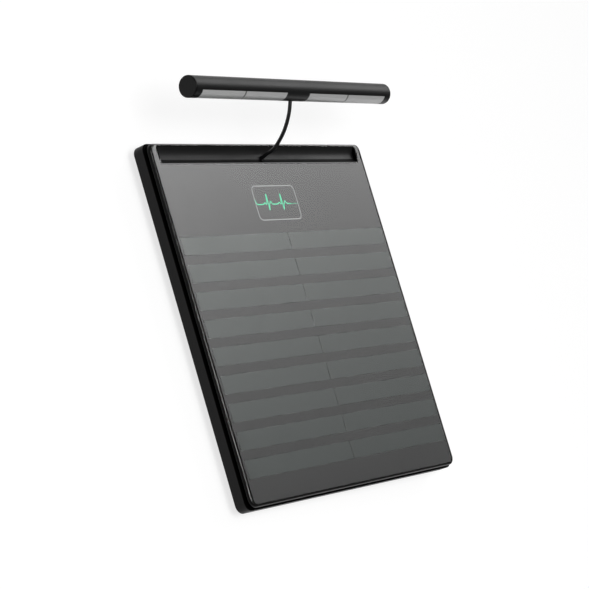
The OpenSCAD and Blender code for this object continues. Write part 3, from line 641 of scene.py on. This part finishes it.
class Maker:
    """Builds meshes and hangs them on their bodies."""

    @staticmethod
    def add(name: str, mesh: bpy.types.Mesh) -> bpy.types.Object:
        """Puts a mesh into the scene as an object at the origin.

        Args:
            name: The object's name.
            mesh: Its mesh.

        Returns:
            The new object.
        """
        made = bpy.data.objects.new(name, mesh)
        bpy.context.scene.collection.objects.link(made)
        return made

    @staticmethod
    def from_bmesh(name: str, shape: bmesh.types.BMesh,
                   smooth_angle: float | None = None) -> bpy.types.Object:
        """Turns a bmesh into an object with its faces pointing outwards.

        Args:
            name: The object's name.
            shape: The bmesh, which is freed.
            smooth_angle: Edges flatter than this many degrees shade smooth; level faces and None shade flat.

        Returns:
            The new object.
        """
        bmesh.ops.recalc_face_normals(shape, faces=shape.faces[:])
        if smooth_angle is not None:
            limit = math.radians(smooth_angle)
            shape.normal_update()
            for face in shape.faces:
                face.smooth = abs(face.normal.z) < LEVEL_NORMAL
            for edge in shape.edges:
                edge.smooth = len(edge.link_faces) == 2 and edge.calc_face_angle(0.0) < limit
        mesh = bpy.data.meshes.new(name)
        shape.to_mesh(mesh)
        shape.free()
        return Maker.add(name, mesh)

    @staticmethod
    def dress(piece: bpy.types.Object, finish: Finish) -> bpy.types.Object:
        """Gives a piece one finish.

        Args:
            piece: The object.
            finish: Its finish.

        Returns:
            The same object.
        """
        piece.data.materials.clear()
        piece.data.materials.append(finish.material())
        return piece

    @staticmethod
    def hang(piece: bpy.types.Object, body: Body, slot: str, replaced: Iterable[str] = ()) -> None:
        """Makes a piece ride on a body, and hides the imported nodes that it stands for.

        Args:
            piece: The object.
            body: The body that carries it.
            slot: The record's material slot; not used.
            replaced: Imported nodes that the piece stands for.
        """
        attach(piece, body.value)
        names = list(replaced)
        if names:
            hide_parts(*names)
        LOG.info("%s rides on %s", piece.name, body.value)

    @staticmethod
    def dress_node(node: str, finish: Finish) -> None:
        """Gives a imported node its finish.

        Args:
            node: The node's name.
            finish: Its finish.
        """
        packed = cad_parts[node]
        packed.data.materials.clear()
        packed.data.materials.append(finish.material())
        LOG.info("%s is finished in %s", node, finish.name)

    @staticmethod
    def settle(piece: bpy.types.Object) -> bpy.types.Object:
        """Turns a piece's modifiers into its plain mesh.

        Args:
            piece: The object with its modifiers.

        Returns:
            The same object without modifiers.
        """
        bpy.context.view_layer.update()
        seen = piece.evaluated_get(bpy.context.evaluated_depsgraph_get())
        mesh = bpy.data.meshes.new_from_object(seen)
        piece.modifiers.clear()
        piece.data = mesh
        mesh.name = piece.name
        return piece


def round_outline(width: float, depth: float, radius: float, steps: int = 12) -> list[Flat]:
    """Corners of a rounded rectangle about the origin, anticlockwise.

    Args:
        width: Size along X.
        depth: Size along Y.
        radius: Corner radius.
        steps: Segments in each corner.

    Returns:
        The outline's points.
    """
    points = []
    for quarter, (sx, sy) in enumerate(((1, 1), (-1, 1), (-1, -1), (1, -1))):
        for i in range(steps + 1):
            angle = math.pi / 2 * (quarter + i / steps)
            points.append((sx * (width / 2 - radius) + radius * math.cos(angle),
                           sy * (depth / 2 - radius) + radius * math.sin(angle)))
    return points


def smooth_path(points: Sequence[Point], spans: int) -> list[Vector]:
    """A smooth curve through points, as closer points.

    Args:
        points: The route's own points.
        spans: Pieces that each stretch is cut into.

    Returns:
        The finer route.
    """
    route = [Vector(p) for p in points]
    ends = [2 * route[0] - route[1], *route, 2 * route[-1] - route[-2]]
    fine = []
    for i in range(1, len(ends) - 2):
        before, start, end, after = ends[i - 1:i + 3]
        for k in range(spans):
            t = k / spans
            square = (2 * before - 5 * start + 4 * end - after) * t * t
            cube = (3 * start - before - 3 * end + after) * t ** 3
            fine.append(0.5 * (2 * start + (end - before) * t + square + cube))
    return [*fine, route[-1]]


def tube(name: str, path: Sequence[Vector], radius: float, sides: int) -> bpy.types.Object:
    """A round tube along a route, closed at both ends.

    Args:
        name: The object's name.
        path: The route, close enough together to look smooth.
        radius: The tube's radius.
        sides: Corners of each ring.

    Returns:
        The new object.
    """
    shape = bmesh.new()
    rings = []
    heading = (path[1] - path[0]).normalized()
    across = heading.orthogonal().normalized()
    for i, point in enumerate(path):
        heading = (path[min(i + 1, len(path) - 1)] - path[max(i - 1, 0)]).normalized()
        across = (across - heading * across.dot(heading)).normalized()
        other = heading.cross(across)
        ring = []
        for k in range(sides):
            angle = math.tau * k / sides
            outward = math.cos(angle) * across + math.sin(angle) * other
            ring.append(shape.verts.new(point + radius * outward))
        rings.append(ring)
    for ring, following in zip(rings, rings[1:]):
        for k in range(sides):
            shape.faces.new((ring[k], ring[(k + 1) % sides], following[(k + 1) % sides], following[k]))
    shape.faces.new(rings[0][::-1])
    shape.faces.new(rings[-1])
    return Maker.from_bmesh(name, shape, SMOOTH_DEGREES)


def ribbon(name: str, path: Sequence[Flat], widths: Sequence[float], low: float, high: float,
           closed: bool) -> bpy.types.Object:
    """A flat line along a route in a level plane.

    Args:
        name: The object's name.
        path: The route's points.
        widths: The line's width at each point.
        low: Height of its lower face.
        high: Height of its upper face.
        closed: Whether the line joins its own start.

    Returns:
        The new object.
    """
    count = len(path)
    rows = []
    shape = bmesh.new()
    for i, point in enumerate(path):
        here = Vector(point)
        last = Vector(path[i - 1]) if closed or i else here
        following = Vector(path[(i + 1) % count]) if closed or i < count - 1 else here
        into = (here - last).normalized() if (here - last).length > TINY else (following - here).normalized()
        out = (following - here).normalized() if (following - here).length > TINY else into
        square = Vector((-into.y, into.x))
        normal = Vector((-(into + out).y, (into + out).x))
        normal = normal.normalized() if normal.length > TINY else square
        lean = max(abs(normal.dot(square)), MITRE_LIMIT)
        offset = normal * (widths[i] / 2 / lean)
        rows.append([shape.verts.new((*(here + side * offset), z)) for z in (low, high) for side in (-1, 1)])
    pairs = list(zip(rows, rows[1:])) + ([(rows[-1], rows[0])] if closed else [])
    for a, b in pairs:
        for first, second in ((0, 1), (1, 3), (3, 2), (2, 0)):
            shape.faces.new((a[first], a[second], b[second], b[first]))
    if not closed:
        for row in (rows[0], rows[-1]):
            shape.faces.new((row[0], row[1], row[3], row[2]))
    return Maker.from_bmesh(name, shape)


def layered(name: str, outside: Sequence[Sequence[Point]],
            opening: Sequence[Sequence[Point]]) -> bpy.types.Object:
    """A plate with an opening, whose edges follow rings from the bottom to the top.

    Args:
        name: The object's name.
        outside: Rings round the plate, the lowest first.
        opening: Rings round the opening, the lowest first.

    Returns:
        The new object.
    """
    shape = bmesh.new()
    ends = []
    for rings in (outside, opening):
        rows = [[shape.verts.new(point) for point in ring] for ring in rings]
        for row, higher in zip(rows, rows[1:]):
            for i in range(len(row)):
                shape.faces.new((row[i - 1], row[i], higher[i], higher[i - 1]))
        ends.append((rows[0], rows[-1]))
    for level in (0, 1):
        edges = [shape.edges.get((pair[level][i - 1], pair[level][i]))
                 for pair in ends for i in range(len(pair[level]))]
        bmesh.ops.triangle_fill(shape, edges=edges, use_beauty=True)
    return Maker.from_bmesh(name, shape, SMOOTH_DEGREES)


def repeat_tree(name: str, inputs: Sequence[tuple[str, str]],
                fill: Callable[[Wiring, bpy.types.Node], bpy.types.NodeSocket]) -> bpy.types.NodeTree:
    """A Geometry Nodes tree that ends in real geometry with a material.

    Args:
        name: The tree's name.
        inputs: Name and socket type of each input after the geometry.
        fill: Builds the inside and gives the instances' socket.

    Returns:
        The tree.
    """
    tree = bpy.data.node_groups.new(name, "GeometryNodeTree")
    tree.interface.new_socket("Geometry", in_out="INPUT", socket_type="NodeSocketGeometry")
    for label, kind in inputs:
        tree.interface.new_socket(label, in_out="INPUT", socket_type=kind)
    tree.interface.new_socket("Material", in_out="INPUT", socket_type="NodeSocketMaterial")
    tree.interface.new_socket("Geometry", in_out="OUTPUT", socket_type="NodeSocketGeometry")
    w = Wiring(tree)
    start = w.node("NodeGroupInput")
    made = fill(w, start)
    real = w.node("GeometryNodeRealizeInstances", made)
    painted = w.node("GeometryNodeSetMaterial", real.outputs[0], Material=start.outputs["Material"])
    w.node("NodeGroupOutput", painted.outputs[0])
    return tree


def grow(name: str, seed_mesh: bpy.types.Mesh, tree: bpy.types.NodeTree,
         values: dict[str, object]) -> bpy.types.Object:
    """Runs a Geometry Nodes tree on a mesh and keeps its result as a plain mesh.

    Args:
        name: The object's name.
        seed_mesh: The mesh that the tree starts from.
        tree: The tree.
        values: The tree's inputs by name.

    Returns:
        The new object.
    """
    made = Maker.add(name, seed_mesh)
    modifier = made.modifiers.new("Repeat", "NODES")
    modifier.node_group = tree
    keys = {s.name: s.identifier for s in tree.interface.items_tree
            if s.item_type == "SOCKET" and s.in_out == "INPUT"}
    for label, value in values.items():
        modifier[keys[label]] = value
    return Maker.settle(made)


@dataclass
class HandCord:
    """The cord, from the reel through the eyelet up to the hand bar."""

    diameter: float = 3.5 * MM
    dock_y: float = 151.6 * MM
    dock_z: float = 32.6 * MM
    eyelet_y: float = 149.6 * MM
    lean_z: float = 23.3 * MM
    reel_x: float = -76.025 * MM
    reel_y: float = 113.875 * MM
    cord_z: float = 14.0 * MM
    bend: float = 7.0 * MM
    turns: float = 5.5
    first_turn: float = 14.0 * MM
    pitch: float = 3.95 * MM
    lead_start: float = 0.3 * MM
    straight_steps: int = 9
    bend_degrees: int = 15
    turn_steps: int = 36
    sides: int = 20
    wound_sides: int = 14
    wound_slack: float = 0.05 * MM
    steps_up: tuple[Flat, ...] = (
        (0, 0.1), (0, 1.5), (0.7, 4.9), (2.1, 8.4), (4.1, 11.9), (6.4, 15.3), (9, 18.8),
        (12.2, 22.5), (15.8, 26), (19.6, 29.2), (23.5, 32.1), (27.5, 34.6), (31.6, 36.7), (35.4, 38.4),
    )

    def free_route(self) -> list[Vector]:
        """Route of the free stretch, from over the trough to the bar."""
        points = [(0.0, self.dock_y + y * MM, self.dock_z + z * MM) for y, z in self.steps_up]
        return smooth_path(points, spans=4)

    def lead_route(self) -> list[Vector]:
        """Route from the reel through the guide and the eyelet to the swing point.

        Returns:
            The route's points.
        """
        start = self.reel_x + self.lead_start
        points = [(start - (start + self.bend) * i / self.straight_steps, self.eyelet_y, self.cord_z)
                  for i in range(self.straight_steps + 1)]
        for degrees in range(self.bend_degrees, 90 + 1, self.bend_degrees):
            angle = math.radians(degrees)
            points.append((self.bend * (math.sin(angle) - 1), self.eyelet_y,
                           self.cord_z + self.bend * (1 - math.cos(angle))))
        lean = Vector((0.0, self.eyelet_y, self.lean_z))
        points += [tuple(lean.lerp((0.0, self.dock_y, self.dock_z), k / 3)) for k in range(4)]
        return smooth_path(points, spans=3)

    def wound_route(self) -> list[Vector]:
        """Spiral of the cord on the reel, from the hub out to where it leaves.

        Returns:
            The route's points.
        """
        count = int(self.turns * self.turn_steps)
        route = []
        for i in range(count + 1):
            turn = self.turns * i / count
            radius = self.first_turn + self.pitch * turn
            angle = math.radians(90 + 360 * (self.turns - turn))
            route.append(Vector((self.reel_x + radius * math.cos(angle),
                                 self.reel_y + radius * math.sin(angle), self.cord_z)))
        return route

    def build(self) -> None:
        free = self.free_route()
        upper = Maker.dress(tube("hand_cord_free", free, self.diameter / 2, self.sides), Palette.CORD)
        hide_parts("handle_cord")
        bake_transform(upper)
        LOG.info("free cord is %.1f mm long", self.length(free) / MM)
        lead = self.lead_route()
        lower = Maker.dress(tube("hand_cord_lead", lead, self.diameter / 2, self.sides), Palette.CORD)
        Maker.hang(lower, Body.PLATFORM, "cord_rubber", ["cord_lead"])
        radius = self.diameter / 2 - self.wound_slack
        wound = tube("hand_cord_wound", self.wound_route(), radius, self.wound_sides)
        Maker.hang(Maker.dress(wound, Palette.CORD), Body.REEL, "cord_rubber", ["wound_cord"])

    @staticmethod
    def length(route: Sequence[Vector]) -> float:
        """Length of a route in metres."""
        return sum((b - a).length for a, b in zip(route, route[1:]))


@dataclass
class Studio:
    """Camera, floor and light."""

    eye: Point = (-1.6249, -0.2579, 1.1466)
    right: Point = (0.580424, -0.281241, 0.764207)
    up: Point = (0.05288, 0.949503, 0.30927)
    back: Point = (-0.812596, -0.139097, 0.565986)
    focal_pixels: float = 2192.95
    image_pixels: float = 589.0
    sensor_mm: float = 36.0
    clip: Flat = (0.05, 50.0)
    floor_half: float = 6.0
    floor_drop: float = 0.3 * MM
    floor_plain: float = 0.8
    floor_shaded: float = 0.33
    floor_glow: float = 0.745
    dome: float = 0.12
    ceiling: Ramp = (0.93, 0.96, 0.0, 2.0)
    card_level: float = -2.527
    back_rate: float = 8.883
    back_run: Ramp = (-0.1, 0.26, -0.1, 0.26)
    up_rate: float = 3.253
    up_run: Ramp = (0.54, 0.64, 0.54, 0.64)
    card_front: Ramp = (-0.06, 0.03, 0.0, 1.0)
    card_side: Ramp = (0.35, 0.75, 0.0, 1.0)
    card_back: Ramp = (0.26, 0.36, 1.0, 0.5)
    card_lift: Ramp = (0.26, 0.36, 0.0, 0.12)
    card_foot: Ramp = (0.22, 0.4, 0.0, 1.0)
    card_head: Ramp = (0.61, 0.68, 1.0, 0.0)
    lamp_size: float = 1.6
    lamp_watts: float = 37.0
    lamp_spot: Point = (-1.2, -0.3, 2.5)

    def camera(self) -> None:
        """Makes the camera where the photograph was taken from."""
        data = bpy.data.cameras.new("Camera")
        data.sensor_width = self.sensor_mm
        data.lens = self.focal_pixels / self.image_pixels * self.sensor_mm
        data.clip_start, data.clip_end = self.clip
        camera = bpy.data.objects.new("Camera", data)
        bpy.context.scene.collection.objects.link(camera)
        axes = Matrix((self.right, self.up, self.back)).transposed()
        camera.matrix_world = Matrix.Translation(self.eye) @ axes.to_4x4()
        bpy.context.scene.camera = camera
        bpy.context.scene.view_settings.view_transform = "Standard"

    def floor(self) -> None:
        """Makes the pale floor, white to the camera but with the scale's shadow."""
        shape = bmesh.new()
        corners = ((-1, -1), (1, -1), (1, 1), (-1, 1))
        shape.faces.new([shape.verts.new((x * self.floor_half, y * self.floor_half, -self.floor_drop))
                         for x, y in corners])
        mesh = bpy.data.meshes.new("Floor")
        shape.to_mesh(mesh)
        shape.free()
        floor = Maker.add("Floor", mesh)
        paint = bpy.data.materials.new("Floor paint")
        paint.use_nodes = True
        w = Wiring(paint.node_tree)
        rays = w.node("ShaderNodeLightPath")
        seen = w.math("MAXIMUM", rays.outputs["Is Camera Ray"],
                      w.math("MAXIMUM", rays.outputs["Is Glossy Ray"], rays.outputs["Is Transmission Ray"]))
        plain = w.node("ShaderNodeBsdfDiffuse", Color=(self.floor_plain,) * 3)
        shaded = w.node("ShaderNodeBsdfDiffuse", Color=(self.floor_shaded,) * 3)
        glow = w.node("ShaderNodeEmission", Color=(1.0, 1.0, 1.0), Strength=self.floor_glow)
        bright = w.node("ShaderNodeAddShader", shaded.outputs[0], glow.outputs[0])
        mix = w.node("ShaderNodeMixShader", seen, plain.outputs[0], bright.outputs[0])
        w.node("ShaderNodeOutputMaterial", mix.outputs[0])
        mesh.materials.append(paint)

    def sky(self) -> None:
        """Makes the soft studio light: an even dome, a ceiling, and a bright card to the back right."""
        world = bpy.data.worlds.new("Studio")
        bpy.context.scene.world = world
        world.use_nodes = True
        w = Wiring(world.node_tree)
        x, y, z = w.node("ShaderNodeSeparateXYZ", w.node("ShaderNodeTexCoord").outputs["Generated"]).outputs
        rise = w.math("MULTIPLY_ADD", w.span(y, *self.back_run), self.back_rate, self.card_level)
        card = w.math("EXPONENT", w.math("MULTIPLY_ADD", w.span(z, *self.up_run), self.up_rate, rise))
        lifted = w.math("ADD", z, w.span(y, *self.card_lift))
        for way, fade in ((y, self.card_front), (x, self.card_side), (y, self.card_back),
                          (lifted, self.card_foot), (z, self.card_head)):
            card = w.math("MULTIPLY", card, w.span(way, *fade))
        level = w.math("ADD", w.math("ADD", card, self.dome), w.span(z, *self.ceiling))
        shade = w.node("ShaderNodeBackground", Color=(1.0, 1.0, 1.0), Strength=level)
        w.node("ShaderNodeOutputWorld", shade.outputs[0])

    def lamps(self) -> None:
        """Makes one large soft lamp above the left side."""
        data = bpy.data.lights.new("Key", "AREA")
        data.shape = "DISK"
        data.size = self.lamp_size
        data.energy = self.lamp_watts
        key = bpy.data.objects.new("Key", data)
        bpy.context.scene.collection.objects.link(key)
        spot = Vector(self.lamp_spot)
        key.matrix_world = Matrix.Translation(spot) @ spot.to_track_quat("Z", "Y").to_matrix().to_4x4()

    def build(self) -> None:
        """Makes the whole studio."""
        self.camera()
        self.floor()
        self.sky()
        self.lamps()
        LOG.info("studio is ready")


@dataclass
class Platform:
    """Glass platform with its print, coating and lit display."""

    glass_bottom: float = 22.0 * MM
    print_low: float = 22.03 * MM
    print_high: float = 22.06 * MM
    art_high: float = 22.09 * MM
    under_slope: float = -0.999
    # Slopes that pick the edge's painted shade coat and the right border's painted dark line.
    edge_shade_slope: float = 0.75
    shade_line_slope: float = 0.96
    shade_line_lean: float = 0.08
    print_inset: float = 0.4 * MM
    chamfer: float = 0.4 * MM
    corner: float = 8.0 * MM
    cradle_corner: float = 2.4 * MM
    cradle_gap: float = 0.2 * MM
    cradle_lip: float = 0.1 * MM
    border_width: float = 3.2 * MM
    front_share: float = 0.75
    back_share: float = 0.37
    right_share: float = 1.8
    bevel_width: float = 1.45 * MM
    bevel_degrees: float = 13.0
    border_steps: int = 14
    bevel_fade: tuple[Flat, ...] = ((0.35, 0.62), (0.8, 0.13), (0.93, 0.03), (1.0, 0.0))
    outline_size: Flat = (65.0 * MM, 32.6 * MM)
    outline_x: float = 1.1 * MM
    outline_y: float = 105.75 * MM
    outline_corner: float = 5.0 * MM
    outline_line: float = 1.0 * MM
    bands: int = 9
    band_pitch: float = 24.8125 * MM
    band_depth: float = 16.4 * MM
    band_margin: float = 0.01 * MM
    column_gap: float = 1.0 * MM
    column_shift: float = 1.0 * MM
    trace: tuple[Flat, ...] = (
        (557, 244), (559, 247), (562, 256), (567, 260), (575, 261), (600, 261), (609, 258), (614, 254),
        (618, 258), (622, 261), (626, 258), (632, 224), (634, 224), (634, 258), (632, 280), (634, 280),
        (640, 262), (649, 250), (652, 250), (657, 259), (664, 261), (690, 261), (698, 257), (703, 254),
        (707, 258), (711, 261), (715, 258), (719, 224), (721, 224), (722, 258), (721, 280), (723, 280),
        (729, 262), (739, 250), (742, 250), (747, 259), (754, 260), (772, 261),
    )
    tail: tuple[Flat, ...] = ((772, 261), (800, 260.5), (828, 260))
    trace_origin: Flat = (-170.7, 169.55)
    trace_steps: int = 4
    peak: float = 235.0
    dip: float = 275.0
    line_width: float = 1.0 * MM
    tip_width: float = 1.25 * MM
    tail_widths: Point = (1.0 * MM, 0.8 * MM, 0.3 * MM)

    def outside(self, inset: float, z: float) -> list[Point]:
        """Ring round the glass: narrower border in front and by the cradle, wider bevel on the right.

        Args:
            inset: How far it stays inside the glass edge.
            z: Its height.

        Returns:
            The ring's points.
        """
        low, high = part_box("glass_platform")
        side = high.x - low.x
        front = inset * self.front_share
        back = inset - (1 - self.back_share) * min(inset, self.border_width - self.bevel_width)
        right = inset + (self.right_share - 1) * max(0.0, inset - self.border_width + self.bevel_width)
        ring = round_outline(side - inset - right, side - front - back, self.corner - inset)
        return [(x + (inset - right) / 2, y + (front - back) / 2, z) for x, y in ring]

    def border(self) -> list[Flat]:
        """Section of the border: a slight bevel, then a round down to the edge.

        Returns:
            Inset and drop of each step, from the edge inwards.
        """
        lean = math.radians(self.bevel_degrees)
        round_width = self.border_width - self.bevel_width
        radius = round_width / (1 - math.sin(lean))
        bevel_drop = self.bevel_width * math.tan(lean)
        steps = []
        for i in range(self.border_steps + 1):
            angle = math.pi / 2 + (lean - math.pi / 2) * i / self.border_steps
            drop = bevel_drop + radius * (math.cos(lean) - math.cos(angle))
            steps.append((radius * (1 - math.sin(angle)), drop))
        for share, drop in self.bevel_fade:
            steps.append((round_width + share * self.bevel_width, drop * bevel_drop))
        return steps

    def opening(self, gap: float, z: float) -> list[Point]:
        """Ring round the opening for the cradle.

        Args:
            gap: How far it stays off the cradle.
            z: Its height.

        Returns:
            The ring's points.
        """
        low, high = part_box("handle_cradle")
        middle = (low + high) / 2
        width, depth = high.x - low.x + 2 * gap, high.y - low.y + 2 * gap
        corners = round_outline(width, depth, self.cradle_corner + gap, steps=6)
        return [(middle.x + x, middle.y + y, z) for x, y in corners]

    def build_glass(self) -> None:
        """Makes the glass, whose border slopes and rounds down, with a painted shade coat on its steep edge
        and a painted dark line on the right border.
        """
        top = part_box("glass_platform")[1].z
        bottom, gap, lip = self.glass_bottom, self.cradle_gap, self.cradle_lip
        rings = [self.outside(self.chamfer, bottom), self.outside(0.0, bottom + self.chamfer)]
        rings += [self.outside(inset, top - drop) for inset, drop in self.border()]
        hole = [self.opening(gap, bottom), self.opening(gap, top - lip), self.opening(gap + lip, top)]
        glass = layered("platform_glass", rings, hole)
        Maker.dress(glass, Palette.GLASS)
        glass.data.materials.append(Palette.EDGE.material())
        glass.data.materials.append(Palette.PRINT.material())
        for face in glass.data.polygons:
            # Painted shade: steep border and side faces take the nearly black edge coat.
            if self.under_slope < face.normal.z < self.edge_shade_slope:
                face.material_index = 1
            # Painted reflection: right-leaning border faces take the dark back print, standing in for the
            # dark line the bevel reflects.
            elif face.normal.z > self.shade_line_slope and face.normal.x > self.shade_line_lean:
                face.material_index = 2
        Maker.hang(glass, Body.PLATFORM, "platform_glass", ["glass_platform"])

    def build_print(self) -> None:
        """Makes the dark print on the back of the glass."""
        levels = (self.print_low, self.print_high)
        ink = layered("glass_back_print", [self.outside(self.print_inset, z) for z in levels],
                      [self.opening(self.print_inset, z) for z in levels])
        Maker.dress(ink, Palette.PRINT)
        Maker.hang(ink, Body.PLATFORM, "platform_glass")

    def build_display(self) -> None:
        """Makes the lit outline, and the generic heart trace with its fading tail."""
        corners = round_outline(*self.outline_size, self.outline_corner, steps=8)
        ring = [(x + self.outline_x, y + self.outline_y) for x, y in corners]
        beats = [self.trace_point(step) for step in self.trace]
        widths = [self.line_width if self.peak < down < self.dip else self.tip_width
                  for _, down in self.trace]
        tail = [self.trace_point(step) for step in self.tail]
        for name, path, width, closed, finish in (
            ("display_outline", ring, [self.outline_line] * len(ring), True, Palette.OUTLINE),
            ("heart_trace", beats, widths, False, Palette.TRACE),
            ("heart_trace_tail", tail, self.tail_widths, False, Palette.FAINT_TRACE),
        ):
            line = ribbon(name, path, width, self.print_high, self.art_high, closed)
            Maker.hang(Maker.dress(line, finish), Body.PLATFORM, "display_glass")

    def trace_point(self, step: Flat) -> Flat:
        """Turns a quarter millimetre grid step, to the right and the front, into metres on the glass."""
        left, back = self.trace_origin
        return (step[0] / self.trace_steps + left) * MM, (back - step[1] / self.trace_steps) * MM

    def build_bands(self) -> None:
        """Makes both columns of coated bands."""

        def fill(w: Wiring, start: bpy.types.Node) -> bpy.types.NodeSocket:
            """Lays one band on each point of a line towards the front.

            Args:
                w: The tree's wiring.
                start: The tree's inputs.

            Returns:
                The socket of the laid bands.
            """
            step = w.node("ShaderNodeCombineXYZ", 0.0, w.math("MULTIPLY", start.outputs["Pitch"], -1.0), 0.0)
            line = w.node("GeometryNodeMeshLine", Count=start.outputs["Count"],
                          Start_Location=start.outputs["First"], Offset=step.outputs[0])
            band = w.node("GeometryNodeMeshCube", Size=start.outputs["Size"])
            laid = w.node("GeometryNodeInstanceOnPoints", line.outputs[0], Instance=band.outputs[0])
            return laid.outputs[0]

        inputs = [("Count", "NodeSocketInt"), ("Pitch", "NodeSocketFloat"),
                  ("First", "NodeSocketVector"), ("Size", "NodeSocketVector")]
        tree = repeat_tree("Coated bands", inputs, fill)
        for side in Side:
            node = f"electrode_film_{side.name.lower()}"
            low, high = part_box(node)
            inner = high if side is Side.LEFT else low
            inner.x = side.value * self.column_gap / 2 + self.column_shift
            film = grow(f"coated_bands_{side.name.lower()}", bpy.data.meshes.new("bands"), tree, {
                "Count": self.bands, "Pitch": self.band_pitch,
                "First": ((low.x + high.x) / 2, high.y - self.band_depth / 2,
                          (low.z + high.z) / 2 + self.band_margin),
                "Size": (high.x - low.x, self.band_depth, high.z - low.z - 2 * self.band_margin),
                "Material": Palette.COATING.material(),
            })
            Maker.hang(film, Body.PLATFORM, "electrode_coating", [node])

    def build(self) -> None:
        """Makes everything on and under the glass."""
        self.build_glass()
        self.build_print()
        self.build_display()
        self.build_bands()
        Maker.dress_node("display_panel", Palette.MODULE)
        Maker.dress_node("upper_frame", Palette.FRAME)
        Maker.dress_node("handle_cradle", Palette.CRADLE)
        Maker.dress_node("cradle_eyelet", Palette.BUSH)


@dataclass
class Base:
    """Tray, feet and what the tray holds."""

    corners: tuple[str, ...] = ("front_left", "front_right", "back_left", "back_right")
    finishes: dict[str, Finish] = field(default_factory=lambda: {
        "base_tray": Palette.TRAY, "cord_guide": Palette.GUIDE, "reel_housing": Palette.REEL,
        "reel_cover": Palette.REEL, "reel_axle": Palette.AXLE, "reel_spring": Palette.SPRING,
        "reel_drum": Palette.DRUM, "main_board": Palette.BOARD, "radio_shield": Palette.SHIELD,
        "battery_pack": Palette.BATTERY, "charge_board": Palette.BOARD, "charge_socket": Palette.SHIELD,
        "button_switch": Palette.SWITCH, "pairing_button": Palette.BUTTON,
        "housing_screws": Palette.SCREW, "load_cell_screws": Palette.SCREW,
        "reel_screws": Palette.SCREW, "board_screws": Palette.SCREW,
    })

    def build(self) -> None:
        """Finishes every piece of the base."""
        for node, finish in self.finishes.items():
            Maker.dress_node(node, finish)
        for corner in self.corners:
            Maker.dress_node(f"load_cell_{corner}", Palette.CELL)
            Maker.dress_node(f"foot_carrier_{corner}", Palette.CARRIER)
            Maker.dress_node(f"foot_pad_{corner}", Palette.PAD)


@dataclass
class HandBar:
    """The hand bar with its four electrodes."""

    finishes: dict[str, Finish] = field(default_factory=lambda: {
        "handle_shell": Palette.HANDLE, "handle_cap_left": Palette.CAP, "handle_cap_right": Palette.CAP,
        "electrode_left_outer": Palette.ELECTRODE, "electrode_left_inner": Palette.ELECTRODE,
        "electrode_right_inner": Palette.ELECTRODE, "electrode_right_outer": Palette.ELECTRODE,
        "cord_gland": Palette.GLAND, "handle_board": Palette.BOARD, "electrode_pins": Palette.PIN,
    })

    def build(self) -> None:
        """Finishes every piece of the bar."""
        for node, finish in self.finishes.items():
            Maker.dress_node(node, finish)


def main() -> None:
    """Builds the studio, then the cord, the platform, the base and the hand bar."""
    logging.basicConfig(level=logging.INFO, format="%(message)s")
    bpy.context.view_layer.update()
    Studio().build()
    HandCord().build()
    Platform().build()
    Base().build()
    HandBar().build()


if __name__ == "__main__":
    main()
